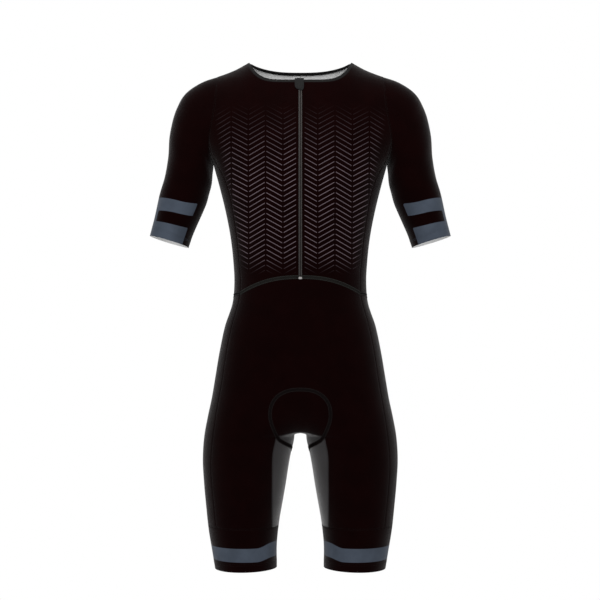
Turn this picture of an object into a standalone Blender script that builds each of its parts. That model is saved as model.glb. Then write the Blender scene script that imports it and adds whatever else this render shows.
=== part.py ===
"""A short-sleeved triathlon suit, filled out as if worn, with no wearer in it.

Metres, +Z up. The front faces -Y and the wearer's left is +X. The origin is the middle of the line
between the neck points of the two shoulders, where the wearer's shoulders hold the suit up.

The suit is one smooth form, worked out from sections. Each half of the body is a ring round its own
centre line, cut off at the mid-plane down to the crotch and whole below it, where it is a leg. Each
sleeve is a row of ovals from the armhole to its hem. The pieces are cut from that form: each is a
wall of cloth that stays half a seam's gap inside its own edges.
"""

import math
from bisect import bisect

import bmesh
import bpy
import numpy as np
from mathutils import Vector

# Cloth and seams
CLOTH = 0.0015
SEAM_GAP = 0.0003
BINDING = 0.0024
BINDING_HEIGHT = 0.0045
BINDING_PROUD = 0.0005

# Main heights, from the neck points down
NECK_FRONT = -0.0396
NECK_BACK = -0.0095
ARMHOLE_TOP = -0.0267
ARMPIT = -0.1877
WAIST = -0.3950
WAIST_DROP_SIDE = 0.0290
WAIST_DROP_BACK = 0.0450
CROTCH = -0.6800
ARCH_FRONT = -0.6753
ARCH_BACK = -0.6700
ARCH_CORNER = -0.6835
CUFF_SEAM = -0.8490
HEM = -0.9280
HEM_RISE_INSIDE = 0.0030

# Main widths
NECK_POINT = 0.0935
SHOULDER_POINT = 0.1530
ARCH_RADIUS = 0.0040
ARCH_DROP = 0.0100
VALLEY_ROUND = 0.0120  # how far the valley between the two halves is rounded, above the crotch

# How the lines bend
NECK_BEND = {"front": 5.6, "back": 2.6}
NECK_FULL = {"front": 1.0, "back": 1.05}  # how much sooner the neckline is as high as the neck point
WAIST_BEND = 2.4
ARCH_BEND = 1.6
FLANK_DROP = 0.6  # how much of the waist seam's drop to the back is on the flank
YOKE_DIP = 0.024  # the row that ends at the armhole's corner is this much lower in the middle

# The yoke: how each side of the chest closes up to the shoulder's ridge
YOKE = {
    "front": {"base": -0.190, "fall": 2.4, "turn": 1.9, "round": 2.0},
    "back": {"base": -0.160, "fall": 3.0, "turn": 1.9, "round": 2.1},
}
YOKE_BLEND = 0.080
PART_TOP = {"front": -0.600, "back": -0.565}  # where the two halves start to part above the crotch
PART_POWER = 3.0
ARMHOLE_DEPTH = {"front": 0.066, "back": 0.072}
ARMHOLE_ROUND = 2.1
RING_TOP = ARMHOLE_TOP - 0.0020  # above this height the body's ring is as wide as here

# Columns and rows of the form
NECK_COLUMNS = 7
FRONT_COLUMNS = 10
INNER_COLUMN = 3
FLANK_COLUMNS = 8
INSIDE_COLUMNS = 8
TORSO_ROWS = 11
YOKE_ROWS = 8
HIP_ROWS = 14
HIP_CROWDING = 1.4  # the rows of the hips get closer towards the crotch
THIGH_ROWS = 7
CUFF_ROWS = 4
COLUMN_FAN = math.radians(64)
FLANK_TURN = 4  # how late the flank's columns turn to the armhole's own
SLEEVE_COLUMNS = 24
ARMHOLE_STEP = 2 * math.pi / SLEEVE_COLUMNS
SLEEVE_ROWS = (  # distances along the sleeve
    *(0.0, 0.009, 0.020, 0.033, 0.048, 0.066, 0.086),
    *(0.108, 0.132, 0.156, 0.180, 0.203, 0.224, 0.2445),
)

# Zip
CHAIN_HALF = 0.0033
CHAIN_PROUD = 0.0004
TAPE_WIDTH = 0.0090
TAPE = 0.0008
STOP_SIZE = (0.0062, 0.0014, 0.0040)
STOP_MIDDLE = -0.3967
SLIDER_SIZE = (0.0080, 0.0013, 0.0090)
SLIDER_MIDDLE = -0.0478
TAB_SIZE = (0.0044, 0.0011, 0.0068)
TAB_MIDDLE = -0.0482
PLATE_CORNER = 0.22  # a plate's corner radius, as a share of its shorter side
GARAGE_SIDES = (-0.0101, 0.0066)
GARAGE_CLOTH = 0.0011
GARAGE_OUTSIDE = 0.0255  # how far down the flap reaches on each side of the neck's edge
GARAGE_INSIDE = 0.0090
GARAGE_LIFT = 0.0010  # how far it stays off the cloth outside, in its middle more, and inside
GARAGE_CROWN = 0.0032
GARAGE_UNDER = 0.0033
GARAGE_CORNER = 0.0110
GARAGE_TAPER = 0.25  # how much of the round corner its other side has
GARAGE_FULLNESS = 1.4
GARAGE_SAG = 0.75  # how much of the crown its sides lose
GARAGE_COLUMNS = 6
GARAGE_INSIDE_ROWS = 3
GARAGE_FOLD_ROWS = 6
GARAGE_OUTSIDE_ROWS = 9

# The edges sharper than this many degrees stay sharp
CLOTH_SHARP = 50
TRIM_SHARP = 30

COLOURS = {  # base colour, roughness, metallic
    "black": ((0.010, 0.006, 0.006), 0.62, 0.0),
    "binding": ((0.014, 0.013, 0.013), 0.70, 0.0),
    "grey_knit": ((0.060, 0.060, 0.062), 0.60, 0.0),
    "zip": ((0.055, 0.055, 0.052), 0.45, 0.0),
    "metal": ((0.550, 0.550, 0.540), 0.35, 1.0),
    "garage": ((0.022, 0.021, 0.021), 0.65, 0.0),
}


def chart(names, rows):
    """A chart with named columns. Its first column says where each row is."""
    rows = sorted(rows)
    places = [row[0] for row in rows]
    columns = {}
    for name, values in zip(names.split(), zip(*rows)):
        columns[name] = (places, values, np.gradient(values, places))
    return columns


# Half of the body and its leg: half the width over all, how far the front and the back stand from the
# mid-plane, where the ring's own centre line runs, and how square the ring is.
BODY = chart(
    "height half_width front back centre round",
    [
        (-0.188, 0.1595, 0.1150, 0.1170, 0.0000, 2.30),
        (-0.230, 0.1479, 0.1140, 0.1120, 0.0000, 2.30),
        (-0.274, 0.1371, 0.1095, 0.1030, 0.0000, 2.28),
        (-0.318, 0.1286, 0.1035, 0.0945, 0.0000, 2.26),
        (-0.363, 0.1233, 0.0990, 0.0885, 0.0000, 2.25),
        (-0.407, 0.1213, 0.0972, 0.0880, 0.0030, 2.25),
        (-0.440, 0.1242, 0.0985, 0.0930, 0.0120, 2.25),
        (-0.484, 0.1384, 0.1020, 0.1070, 0.0300, 2.25),
        (-0.528, 0.1478, 0.1040, 0.1230, 0.0480, 2.25),
        (-0.583, 0.1571, 0.1035, 0.1320, 0.0660, 2.22),
        (-0.616, 0.1627, 0.1018, 0.1290, 0.0770, 2.18),
        (-0.650, 0.1700, 0.0990, 0.1180, 0.0860, 2.14),
        (-0.683, 0.1761, 0.0962, 0.1050, 0.0930, 2.10),
        (-0.727, 0.1792, 0.0920, 0.0965, 0.0994, 2.08),
        (-0.771, 0.1770, 0.0872, 0.0900, 0.1017, 2.06),
        (-0.815, 0.1730, 0.0825, 0.0845, 0.1035, 2.05),
        (-0.859, 0.1682, 0.0785, 0.0805, 0.1045, 2.05),
        (-0.892, 0.1627, 0.0752, 0.0775, 0.1030, 2.05),
        (-0.928, 0.1568, 0.0722, 0.0748, 0.0994, 2.05),
    ],
)

# The inside line of the leg, below the round arch between the legs
INSIDE = chart(
    "height across",
    [
        (-0.679, 0.0103),
        (-0.694, 0.0118),
        (-0.716, 0.0171),
        (-0.738, 0.0212),
        (-0.771, 0.0263),
        (-0.804, 0.0320),
        (-0.837, 0.0379),
        (-0.859, 0.0408),
        (-0.881, 0.0429),
        (-0.928, 0.0430),
    ],
)

# Round the flank: the side seam, in front of the widest line, and the column behind it where the back's
# own columns start
FLANK = chart(
    "height side_seam back_column",
    [
        (-0.149, 0.1655, 0.1655),
        (-0.170, 0.1610, 0.1600),
        (-0.190, 0.1515, 0.1500),
        (-0.212, 0.1390, 0.1400),
        (-0.240, 0.1290, 0.1305),
        (-0.274, 0.1222, 0.1229),
        (-0.318, 0.1155, 0.1152),
        (-0.363, 0.1112, 0.1104),
        (-0.424, 0.1090, 0.1101),
        (-0.484, 0.1240, 0.1270),
        (-0.528, 0.1330, 0.1373),
        (-0.583, 0.1414, 0.1474),
        (-0.650, 0.1530, 0.1608),
        (-0.727, 0.1613, 0.1702),
        (-0.815, 0.1557, 0.1651),
        (-0.892, 0.1464, 0.1559),
        (-0.928, 0.1411, 0.1502),
    ],
)

# The seam of the inner-leg panels, and its column above the crotch
INNER_SEAM = chart(
    "height across",
    [
        (-0.395, 0.0400),
        (-0.500, 0.0470),
        (-0.600, 0.0495),
        (-0.650, 0.0470),
        (-0.684, 0.0440),
        (-0.710, 0.0490),
        (-0.760, 0.0505),
        (-0.928, 0.0505),
    ],
)

# The shoulder's ridge by its distance from the middle, and the armhole by its height
RIDGE = chart(
    "across height",
    [
        (0.000, 0.0120),
        (0.050, 0.0110),
        (0.0935, 0.0000),
        (0.118, -0.0129),
        (0.146, -0.0239),
        (0.163, -0.0294),
    ],
)
ARMHOLE = chart(
    "height across",
    [
        (-0.0267, 0.1530),
        (-0.0560, 0.1532),
        (-0.0830, 0.1548),
        (-0.1130, 0.1600),
        (-0.1320, 0.1637),
        (-0.1490, 0.1655),
        (-0.1700, 0.1640),
        (-0.1877, 0.1597),
    ],
)

# The sleeve, by the distance along its middle: the outer and inner lines, and the depths each way
SLEEVE = chart(
    "along outer_x outer_z inner_x inner_z front back",
    [
        (0.0000, 0.1530, -0.0267, 0.1597, -0.1877, 0.0660, 0.0720),
        (0.0150, 0.1777, -0.0350, 0.1603, -0.1940, 0.0645, 0.0695),
        (0.0330, 0.2048, -0.0515, 0.1612, -0.2010, 0.0620, 0.0660),
        (0.0630, 0.2272, -0.0846, 0.1632, -0.2226, 0.0580, 0.0605),
        (0.0950, 0.2396, -0.1306, 0.1674, -0.2392, 0.0545, 0.0560),
        (0.1280, 0.2430, -0.1748, 0.1730, -0.2594, 0.0520, 0.0530),
        (0.1525, 0.2486, -0.2079, 0.1792, -0.2742, 0.0505, 0.0512),
        (0.1820, 0.2583, -0.2410, 0.1890, -0.2962, 0.0492, 0.0500),
        (0.2160, 0.2680, -0.2852, 0.1985, -0.3183, 0.0480, 0.0490),
        (0.2445, 0.2766, -0.3183, 0.2057, -0.3395, 0.0470, 0.0482),
    ],
)
SLEEVE_PITCH = 0.045  # the sleeve's hem drops this much for each metre towards the back
BULGE_ENDS = 0.060

FACES = ("front", "back")
WORDS = {1: "left", -1: "right"}
MERGE = 1e-5

POINTS = {}  # the form's points, by name: (part of the form, side, face, column, row)
QUADS = []  # (piece, the names of the quad's four corners)
SKIN = {}  # each point's name, with its number, place and normal in the whole form


def curve(rows, name, where):
    """Column `name` of a chart at `where`, on a smooth curve through its rows."""
    places, values, slopes = rows[name]
    i = min(max(bisect(places, where) - 1, 0), len(places) - 2)
    step = places[i + 1] - places[i]
    t = min(max((where - places[i]) / step, 0.0), 1.0)
    start = (1 + 2 * t) * (1 - t) ** 2 * values[i] + t * (1 - t) ** 2 * step * slopes[i]
    end = t * t * (3 - 2 * t) * values[i + 1] + t * t * (t - 1) * step * slopes[i + 1]
    return float(start + end)


def arc(share, power):
    """The height of a superellipse of this power, as a share of its own height."""
    return (1 - min(abs(share), 1.0) ** power) ** (1 / power)


def power_of(value, power):
    return math.copysign(abs(value) ** power, value)


def mix(a, b, share):
    return a + (b - a) * share


def ease(share):
    share = min(max(share, 0.0), 1.0)
    return share * share * (3 - 2 * share)


# The body's surface


def armhole_depth(height, face):
    middle, half = (ARMHOLE_TOP + ARMPIT) / 2, (ARMHOLE_TOP - ARMPIT) / 2
    return ARMHOLE_DEPTH[face] * arc((height - middle) / half, ARMHOLE_ROUND)


def armhole_point(angle):
    """The armhole at an angle from its top, through its front and the armpit to its back."""
    middle, half = (ARMHOLE_TOP + ARMPIT) / 2, (ARMHOLE_TOP - ARMPIT) / 2
    height = middle + half * power_of(math.cos(angle), 2 / ARMHOLE_ROUND)
    face = "front" if math.sin(angle) > 0 else "back"
    y = -ARMHOLE_DEPTH[face] * power_of(math.sin(angle), 2 / ARMHOLE_ROUND)
    return Vector((curve(ARMHOLE, "across", height), y, height))


def roundness(height, face):
    """How square the body's ring is. It gets rounder from the chest up."""
    above = ease((height - YOKE[face]["base"]) / YOKE_BLEND)
    return mix(curve(BODY, "round", height), YOKE[face]["round"], above)


def closing(x, height, face):
    """The share of the chest's depth that is left this high, towards the shoulder's ridge."""
    yoke = YOKE[face]
    rise = (height - yoke["base"]) / (curve(RIDGE, "height", x) - yoke["base"])
    return (1 - min(max(rise, 0.0), 1.0) ** yoke["fall"]) ** (1 / yoke["turn"])


def half_width(height, face):
    """Half the width of the body's ring. Above the armpit the ring runs on through the armhole."""
    if height <= ARMPIT:
        return curve(BODY, "half_width", height)
    height = min(height, RING_TOP)
    x = curve(ARMHOLE, "across", height)
    reach = curve(BODY, face, height) * closing(x, height, face)
    return x / arc(armhole_depth(height, face) / reach, roundness(height, face))


def inside(height):
    """How far the inside of the leg is from the mid-plane."""
    if height >= CROTCH:
        return 0.0
    up = 1 - min((CROTCH - height) / ARCH_RADIUS, 1.0)
    return curve(INSIDE, "across", height) * math.sqrt(1 - up * up)


def inner_reach(height, face):
    """Half the width of the ring's inner side, which runs on past the mid-plane above the crotch."""
    centre = curve(BODY, "centre", height)
    if height < CROTCH:
        return centre - inside(height)
    down = (PART_TOP[face] - height) / (PART_TOP[face] - CROTCH)
    if down <= 0:
        return math.inf
    left = math.sqrt(1 - min(down, 1.0) ** PART_POWER)
    return centre / arc(left, roundness(height, face))


def depth(x, height, face):
    """How far the front or the back stands from the mid-plane, at a place seen from the front."""
    centre = curve(BODY, "centre", height)
    if x >= centre:
        share = (x - centre) / (half_width(height, face) - centre)
    else:
        rounding = max(2 * VALLEY_ROUND - x, 0.0) ** 2 / (4 * VALLEY_ROUND) if height > CROTCH else 0.0
        share = (centre - x - rounding) / inner_reach(height, face)
    reach = curve(BODY, face, height) * arc(share, roundness(height, face))
    return reach * closing(x, height, face)


def on_body(x, height, face):
    y = depth(x, height, face)
    return Vector((x, -y if face == "front" else y, height))


def ring_angle(across, height, face):
    """The angle round half of the body's ring, from its front, of a place this far across."""
    centre = curve(BODY, "centre", height)
    share = (across - centre) / (half_width(height, face) - centre)
    angle = math.asin(min(share, 1.0) ** (roundness(height, face) / 2))
    return angle if face == "front" else math.pi - angle


def armhole_angle(share):
    """The angle round the body's ring of the armhole's point at this share of the flank."""
    place = armhole_point((YOKE_ROWS + share * FLANK_COLUMNS) * ARMHOLE_STEP)
    face = "front" if place.y < 0 else "back"
    reach = curve(BODY, face, place.z) * closing(place.x, place.z, face)
    return math.acos(power_of(-place.y / reach, roundness(place.z, face) / 2))


def flank_angle(share, height):
    """The angle round the body's ring, from the side seam at 0 to the back's first column at 1."""
    start = ring_angle(curve(FLANK, "side_seam", height), height, "front")
    end = ring_angle(curve(FLANK, "back_column", height), height, "back")
    return mix(start, end, share)


def on_flank(share, height, rise=0.0):
    """A point round the flank. Towards a rise of 1 the columns turn to the ones that start the sleeve."""
    angle = flank_angle(share, height)
    if rise > 0:
        top = armhole_point((YOKE_ROWS + share * FLANK_COLUMNS) * ARMHOLE_STEP).z
        angle += (armhole_angle(share) - flank_angle(share, top)) * rise**FLANK_TURN
    face = "front" if angle < math.pi / 2 else "back"
    centre, power = curve(BODY, "centre", height), 2 / roundness(height, face)
    x = centre + (half_width(height, face) - centre) * math.sin(angle) ** power
    y = -curve(BODY, face, height) * closing(x, height, face) * power_of(math.cos(angle), power)
    return Vector((x, y, height))


def column_share(i):
    """Column i of a half front or back, as a share of the way from the middle to its edge."""
    return math.sin(COLUMN_FAN * i / FRONT_COLUMNS) / math.sin(COLUMN_FAN)


def edge_x(height, face):
    """How far out the columns of a half front or back reach."""
    return curve(FLANK, "side_seam" if face == "front" else "back_column", height)


# The lines that the pieces are cut along


def flank_waist(share):
    """The height of the waist seam round the flank, from the side seam to the back's first column."""
    return mix(WAIST - WAIST_DROP_SIDE, WAIST - WAIST_DROP_BACK, FLANK_DROP * ease(share))


def waist_height(face, i):
    """The height of the waist seam at a column: it drops from its middle to the side seams and the back."""
    if face == "front":
        return WAIST - WAIST_DROP_SIDE * column_share(i) ** WAIST_BEND
    return mix(WAIST - WAIST_DROP_BACK, flank_waist(1.0), ease(column_share(i)))


def neckline(share, face, lower):
    """A point on the neckline's edge, or on the seam of its binding, from the middle to the neck point."""
    below = BINDING_HEIGHT if lower else 0.0
    middle = (NECK_FRONT if face == "front" else NECK_BACK) - below
    part = math.sin(share * math.pi / 2)
    rise = min(part * NECK_FULL[face], 1.0) ** NECK_BEND[face]
    height = mix(middle, curve(RIDGE, "height", NECK_POINT + below), rise)
    return (NECK_POINT + below) * part, height


def top_of_yoke(i, face):
    """Where column i ends: on the binding's seam, and further out on the shoulder seam."""
    if i <= NECK_COLUMNS:
        return neckline(i / NECK_COLUMNS, face, True)
    share = (i - NECK_COLUMNS) / (FRONT_COLUMNS - NECK_COLUMNS)
    x = mix(NECK_POINT + BINDING_HEIGHT, SHOULDER_POINT, share)
    return x, curve(RIDGE, "height", x)


def arch(i, face):
    """The height of the lowest row that runs from one leg to the other."""
    middle = ARCH_FRONT if face == "front" else ARCH_BACK
    return mix(middle, ARCH_CORNER, min(i / INNER_COLUMN, 1.0) ** ARCH_BEND)


def hem(share):
    """The height of the leg's hem at a column, which rises towards the inside of the leg."""
    return HEM + HEM_RISE_INSIDE * ease(1 - share)


def shorts_height(row, waist, foot, end):
    """The height of a row of the shorts, between the waist seam, the arch, the cuff's seam and the hem."""
    if row <= HIP_ROWS:
        return mix(waist, foot, 1 - (1 - row / HIP_ROWS) ** HIP_CROWDING)
    if row <= HIP_ROWS + THIGH_ROWS:
        return mix(foot, CUFF_SEAM, (row - HIP_ROWS) / THIGH_ROWS)
    return mix(CUFF_SEAM, end, (row - HIP_ROWS - THIGH_ROWS) / CUFF_ROWS)


# The form's points on the wearer's left, by their column and row


def torso_point(face, i, row):
    """Half of the torso, from the waist seam to the neckline, the shoulder seam and the armhole."""
    share, corner = column_share(i), armhole_point(YOKE_ROWS * ARMHOLE_STEP).z
    foot = mix(corner - YOKE_DIP, corner, share**2)
    if row < TORSO_ROWS:
        rise = row / TORSO_ROWS
        side = mix(waist_height(face, FRONT_COLUMNS), corner, rise)
        return on_body(share * edge_x(side, face), mix(waist_height(face, i), foot, rise), face)
    angle = (TORSO_ROWS + YOKE_ROWS - row) * ARMHOLE_STEP
    edge = armhole_point(angle if face == "front" else -angle)
    if i == FRONT_COLUMNS:
        return edge
    up = (edge.z - corner) / (ARMHOLE_TOP - corner)
    top_x, top_height = top_of_yoke(i, face)
    return on_body(edge.x * mix(share, top_x / SHOULDER_POINT, up), mix(foot, top_height, up), face)


def neck_point(face, i):
    """The neckline's edge."""
    x, height = neckline(i / NECK_COLUMNS, face, False)
    return on_body(x, height, face)


def zip_point(row):
    """The edge of the zip's chain. Its last row is at the top of the binding."""
    bound = row > TORSO_ROWS + YOKE_ROWS
    height = neck_point("front", 0).z if bound else torso_point("front", 0, row).z
    return on_body(CHAIN_HALF, height, "front")


def flank_point(j, row):
    """The back panel's stretch round the flank, up to the armhole."""
    share, rise = j / FLANK_COLUMNS, row / TORSO_ROWS
    top = armhole_point((YOKE_ROWS + j) * ARMHOLE_STEP)
    if row == TORSO_ROWS:
        return top
    return on_flank(share, mix(flank_waist(share), top.z, rise), rise)


def hip_point(j, row):
    """The shorts' stretch round the flank."""
    share = j / FLANK_COLUMNS
    return on_flank(share, shorts_height(row, flank_waist(share), ARCH_CORNER, HEM))


def shorts_point(face, i, row):
    """Half of the shorts' front or back: across the hips down to the arch, then down the leg."""
    share, inner = column_share(i), column_share(INNER_COLUMN)
    height = shorts_height(row, waist_height(face, i), arch(i, face), hem(share))
    edge = edge_x(shorts_height(row, waist_height(face, FRONT_COLUMNS), ARCH_CORNER, HEM), face)
    seam = mix(inner * edge, curve(INNER_SEAM, "across", height), ease(row / HIP_ROWS))
    x = seam * share / inner if i <= INNER_COLUMN else mix(seam, edge, (share - inner) / (1 - inner))
    return on_body(x, height, face)


def inner_end(face, row):
    """The column and row of the shorts that a row of the inner leg ends at."""
    if row <= INNER_COLUMN:
        return face, row, HIP_ROWS
    return face, INNER_COLUMN, HIP_ROWS + row - INNER_COLUMN


def inner_leg_point(j, row):
    """The inside of the leg. Its first rows start at the mid-plane, under the crotch."""
    ends = {face: shorts_point(*inner_end(face, row)) for face in FACES}
    if row <= INNER_COLUMN:
        height = CROTCH - ARCH_DROP * (row / INNER_COLUMN) ** 2
    else:
        sag = (ARCH_CORNER - CROTCH + ARCH_DROP) * (1 - ease(row - INNER_COLUMN))
        height = (ends["front"].z + ends["back"].z) / 2 - sag
    half = INSIDE_COLUMNS / 2
    face = "front" if j < half else "back"
    return on_inside(Vector((inside(height), 0.0, height)), ends[face], face, abs(j - half) / half)


def on_inside(middle, end, face, away):
    """A point on the inner side of a leg's ring, from its middle at 0 to its end at 1."""
    power = roundness(end.z, face)
    full = min(abs(end.y) / curve(BODY, face, end.z), 1.0)
    part = math.sin(away * math.asin(full))
    bend = (1 - arc(part, power)) / (1 - arc(full, power))
    y = mix(middle.y, end.y, part / full)
    return Vector((mix(middle.x, end.x, bend), y, mix(middle.z, end.z, bend)))


def sleeve_point(k, row):
    """A sleeve: ovals between its outer and inner lines, from the armhole to the hem."""
    start = armhole_point(k * ARMHOLE_STEP)
    if row == 0:
        return start
    along = float(np.interp(row, range(len(SLEEVE_ROWS)), SLEEVE_ROWS))
    line = {name: curve(SLEEVE, name, along) for name in SLEEVE}
    outer = Vector((line["outer_x"], 0, line["outer_z"]))
    inner = Vector((line["inner_x"], 0, line["inner_z"]))
    up = (start.z - ARMPIT) / (ARMHOLE_TOP - ARMPIT)
    straight = mix(curve(ARMHOLE, "across", ARMPIT), curve(ARMHOLE, "across", ARMHOLE_TOP), up)
    bulge = (start.x - straight) * (1 - ease(along / BULGE_ENDS))
    reach = start.y / ARMHOLE_DEPTH["front" if start.y < 0 else "back"]
    y = reach * line["front" if start.y < 0 else "back"]
    drop = SLEEVE_PITCH * ease(along / SLEEVE_ROWS[-1]) * y
    return inner + (outer - inner) * up + Vector((bulge, y, -drop))


def torso_points(side):
    top = TORSO_ROWS + YOKE_ROWS
    for face in FACES:
        for i in range(FRONT_COLUMNS + 1):
            for row in range(top + 1):
                put("torso", side, face, i, row, torso_point(face, i, row))
        for i in range(NECK_COLUMNS + 1):
            put("neck", side, face, i, 0, neck_point(face, i))
    for row in range(top + 2):
        put("zip", side, "front", 0, row, zip_point(row))
    for j in range(1, FLANK_COLUMNS):
        for row in range(TORSO_ROWS + 1):
            put("flank", side, "side", j, row, flank_point(j, row))


def shorts_points(side):
    legs = HIP_ROWS + THIGH_ROWS + CUFF_ROWS
    for face in FACES:
        for i in range(FRONT_COLUMNS + 1):
            for row in range((HIP_ROWS if i < INNER_COLUMN else legs) + 1):
                put("shorts", side, face, i, row, shorts_point(face, i, row))
    for j in range(1, FLANK_COLUMNS):
        for row in range(legs + 1):
            put("hip", side, "side", j, row, hip_point(j, row))
    for j in range(1, INSIDE_COLUMNS):
        for row in range(INNER_COLUMN + THIGH_ROWS + CUFF_ROWS + 1):
            put("inside", side, "side", j, row, inner_leg_point(j, row))


def sleeve_points(side):
    for k in range(SLEEVE_COLUMNS):
        for row in range(1, len(SLEEVE_ROWS)):
            put("sleeve", side, "round", k, row, sleeve_point(k, row))


def put(part, side, face, column, row, place):
    """Keeps a point of the form. The wearer's right side is the left one mirrored."""
    POINTS[part, side, face, column, row] = Vector((place.x * side, place.y, place.z))


# The form's faces, each with the piece that is cut from it


def between(first, second, rows):
    """The quads between two columns of the form, given by the names of their points for a row."""
    for row in rows:
        yield first(row), second(row), second(row + 1), first(row + 1)


def column(part, side, face, i):
    return lambda row: (part, side, face, i, row)


def armhole_name(side, k):
    """The torso's point that column k of the sleeve starts at."""
    k %= SLEEVE_COLUMNS
    if k <= YOKE_ROWS:
        return "torso", side, "front", FRONT_COLUMNS, TORSO_ROWS + YOKE_ROWS - k
    if k < YOKE_ROWS + FLANK_COLUMNS:
        return "flank", side, "side", k - YOKE_ROWS, TORSO_ROWS
    return "torso", side, "back", FRONT_COLUMNS, TORSO_ROWS + k - YOKE_ROWS - FLANK_COLUMNS


def sleeve_column(side, k):
    k %= SLEEVE_COLUMNS
    return lambda row: ("sleeve", side, "round", k, row) if row else armhole_name(side, k)


def inside_column(side, j):
    if j in (0, INSIDE_COLUMNS):
        return lambda row: inner_edge(side, FACES[0] if j == 0 else FACES[1], row)
    return column("inside", side, "side", j)


def inner_edge(side, face, row):
    """The name of the shorts' point that a row of the inner leg ends at."""
    face, i, shorts_row = inner_end(face, row)
    return "shorts", side, face, i, shorts_row


def round_flank(side, upper, lower):
    """The columns round a flank, from the side seam to the back's first column."""
    middle = [column(lower, side, "side", j) for j in range(1, FLANK_COLUMNS)]
    first = column(upper, side, "front", FRONT_COLUMNS)
    return [first, *middle, column(upper, side, "back", FRONT_COLUMNS)]


def torso_faces(side):
    word = WORDS[side]
    top = TORSO_ROWS + YOKE_ROWS
    front = [column("torso", side, "front", i) for i in range(FRONT_COLUMNS + 1)]
    back = [column("torso", side, "back", i) for i in range(FRONT_COLUMNS + 1)]
    chain = column("zip", side, "front", 0)
    add("zip_" + word, between(front[0], chain, range(top)))
    for first, second in zip([chain, *front[1:]], front[1:]):
        add("front_" + word, between(first, second, range(top)))
    for first, second in zip(back, back[1:]):
        add("back", between(first, second, range(top)))
    flank = round_flank(side, "torso", "flank")
    for first, second in zip(flank, flank[1:]):
        add("back", between(first, second, range(TORSO_ROWS)))
    for face in FACES:
        for i in range(NECK_COLUMNS):
            pair = [
                ("neck", side, face, i, 0),
                ("neck", side, face, i + 1, 0),
                ("torso", side, face, i + 1, top),
                ("torso", side, face, i, top),
            ]
            if face == "front" and i == 0:
                pair[0], pair[3] = chain(top + 1), chain(top)
            add("neck_binding", [pair])
    ends = ("neck", side, "front", 0, 0), ("torso", side, "front", 0, top)
    add("zip_" + word, [(ends[0], chain(top + 1), chain(top), ends[1])])


def sleeve_faces(side):
    for k in range(SLEEVE_COLUMNS):
        columns = sleeve_column(side, k), sleeve_column(side, k + 1)
        add("sleeve_" + WORDS[side], between(*columns, range(len(SLEEVE_ROWS) - 1)))


def shorts_faces(side):
    """The shorts down to the seam of the leg's cuff, and the cuff, which runs all round the leg."""
    cuff, seam = "leg_cuff_" + WORDS[side], HIP_ROWS + THIGH_ROWS
    below = range(seam, seam + CUFF_ROWS)
    for face in FACES:
        columns = [column("shorts", side, face, i) for i in range(FRONT_COLUMNS + 1)]
        for i, pair in enumerate(zip(columns, columns[1:])):
            add("shorts_" + face, between(*pair, range(HIP_ROWS if i < INNER_COLUMN else seam)))
            if i >= INNER_COLUMN:
                add(cuff, between(*pair, below))
    hip = round_flank(side, "shorts", "hip")
    for pair in zip(hip, hip[1:]):
        add("shorts_back", between(*pair, range(seam)))
        add(cuff, between(*pair, below))
    seam = INNER_COLUMN + THIGH_ROWS
    for j in range(INSIDE_COLUMNS):
        pair = inside_column(side, j), inside_column(side, j + 1)
        add("inner_leg_" + WORDS[side], between(*pair, range(seam)))
        add(cuff, between(*pair, range(seam, seam + CUFF_ROWS)))


def add(piece, quads):
    QUADS.extend((piece, quad) for quad in quads)


def whole_form():
    """The form as one mesh, which gives its points their shared normals: name to (place, normal)."""
    form = bmesh.new()
    corners = {name: form.verts.new(place) for name, place in POINTS.items()}
    for _, quad in QUADS:
        form.faces.new([corners[name] for name in quad])
    homes = bmesh.ops.find_doubles(form, verts=form.verts, dist=MERGE)["targetmap"]
    owner = {name: homes.get(vertex, vertex) for name, vertex in corners.items()}
    bmesh.ops.weld_verts(form, targetmap=homes)
    bmesh.ops.recalc_face_normals(form, faces=form.faces)
    chest = owner["torso", 1, "front", 1, TORSO_ROWS]
    form.normal_update()
    if chest.normal.y > 0:
        bmesh.ops.reverse_faces(form, faces=form.faces)
        form.normal_update()
    form.verts.index_update()
    skin = {}
    for name, vertex in owner.items():
        skin[name] = (vertex.index, vertex.co.copy(), vertex.normal.copy())
    form.free()
    return skin


# Pieces


def material(name):
    colour, roughness, metallic = COLOURS[name]
    made = bpy.data.materials.get(name) or bpy.data.materials.new(name)
    made.use_nodes = True
    made.diffuse_color = (*colour, 1)
    shader = made.node_tree.nodes["Principled BSDF"]
    shader.inputs["Base Color"].default_value = (*colour, 1)
    shader.inputs["Roughness"].default_value = roughness
    shader.inputs["Metallic"].default_value = metallic
    return made


def finish(name, mesh, colour, sharp):
    """Makes a node of a bmesh, with its faces out, its colour and its shading."""
    bmesh.ops.recalc_face_normals(mesh, faces=mesh.faces)
    if mesh.calc_volume(signed=True) < 0:
        bmesh.ops.reverse_faces(mesh, faces=mesh.faces)
    data = bpy.data.meshes.new(name)
    mesh.to_mesh(data)
    mesh.free()
    data.shade_smooth()
    data.set_sharp_from_angle(angle=math.radians(sharp))
    data.materials.append(material(colour))
    made = bpy.data.objects.new(name, data)
    bpy.context.scene.collection.objects.link(made)
    return made


def inset(loops, places, normals):
    """Moves the points on a piece's edges in by half a seam's gap, along the cloth."""
    inward = {}
    edges = {(a, b): quad for quad in loops for a, b in zip(quad, quad[1:] + quad[:1])}
    for (a, b), quad in edges.items():
        if (b, a) in edges:
            continue
        across = places[quad[2]] - places[quad[0]]
        facing = across.cross(places[quad[3]] - places[quad[1]]).normalized()
        turn = facing.cross(places[b] - places[a]).normalized()
        inward.setdefault(a, []).append(turn)
        inward.setdefault(b, []).append(turn)
    for corner, turns in inward.items():
        total = sum(turns, Vector())
        share = max(total.dot(turns[0]), 0.5)
        step = total / share * SEAM_GAP / 2
        places[corner] += step - normals[corner] * step.dot(normals[corner])
    return [edge for edge in edges if edge[::-1] not in edges]


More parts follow.
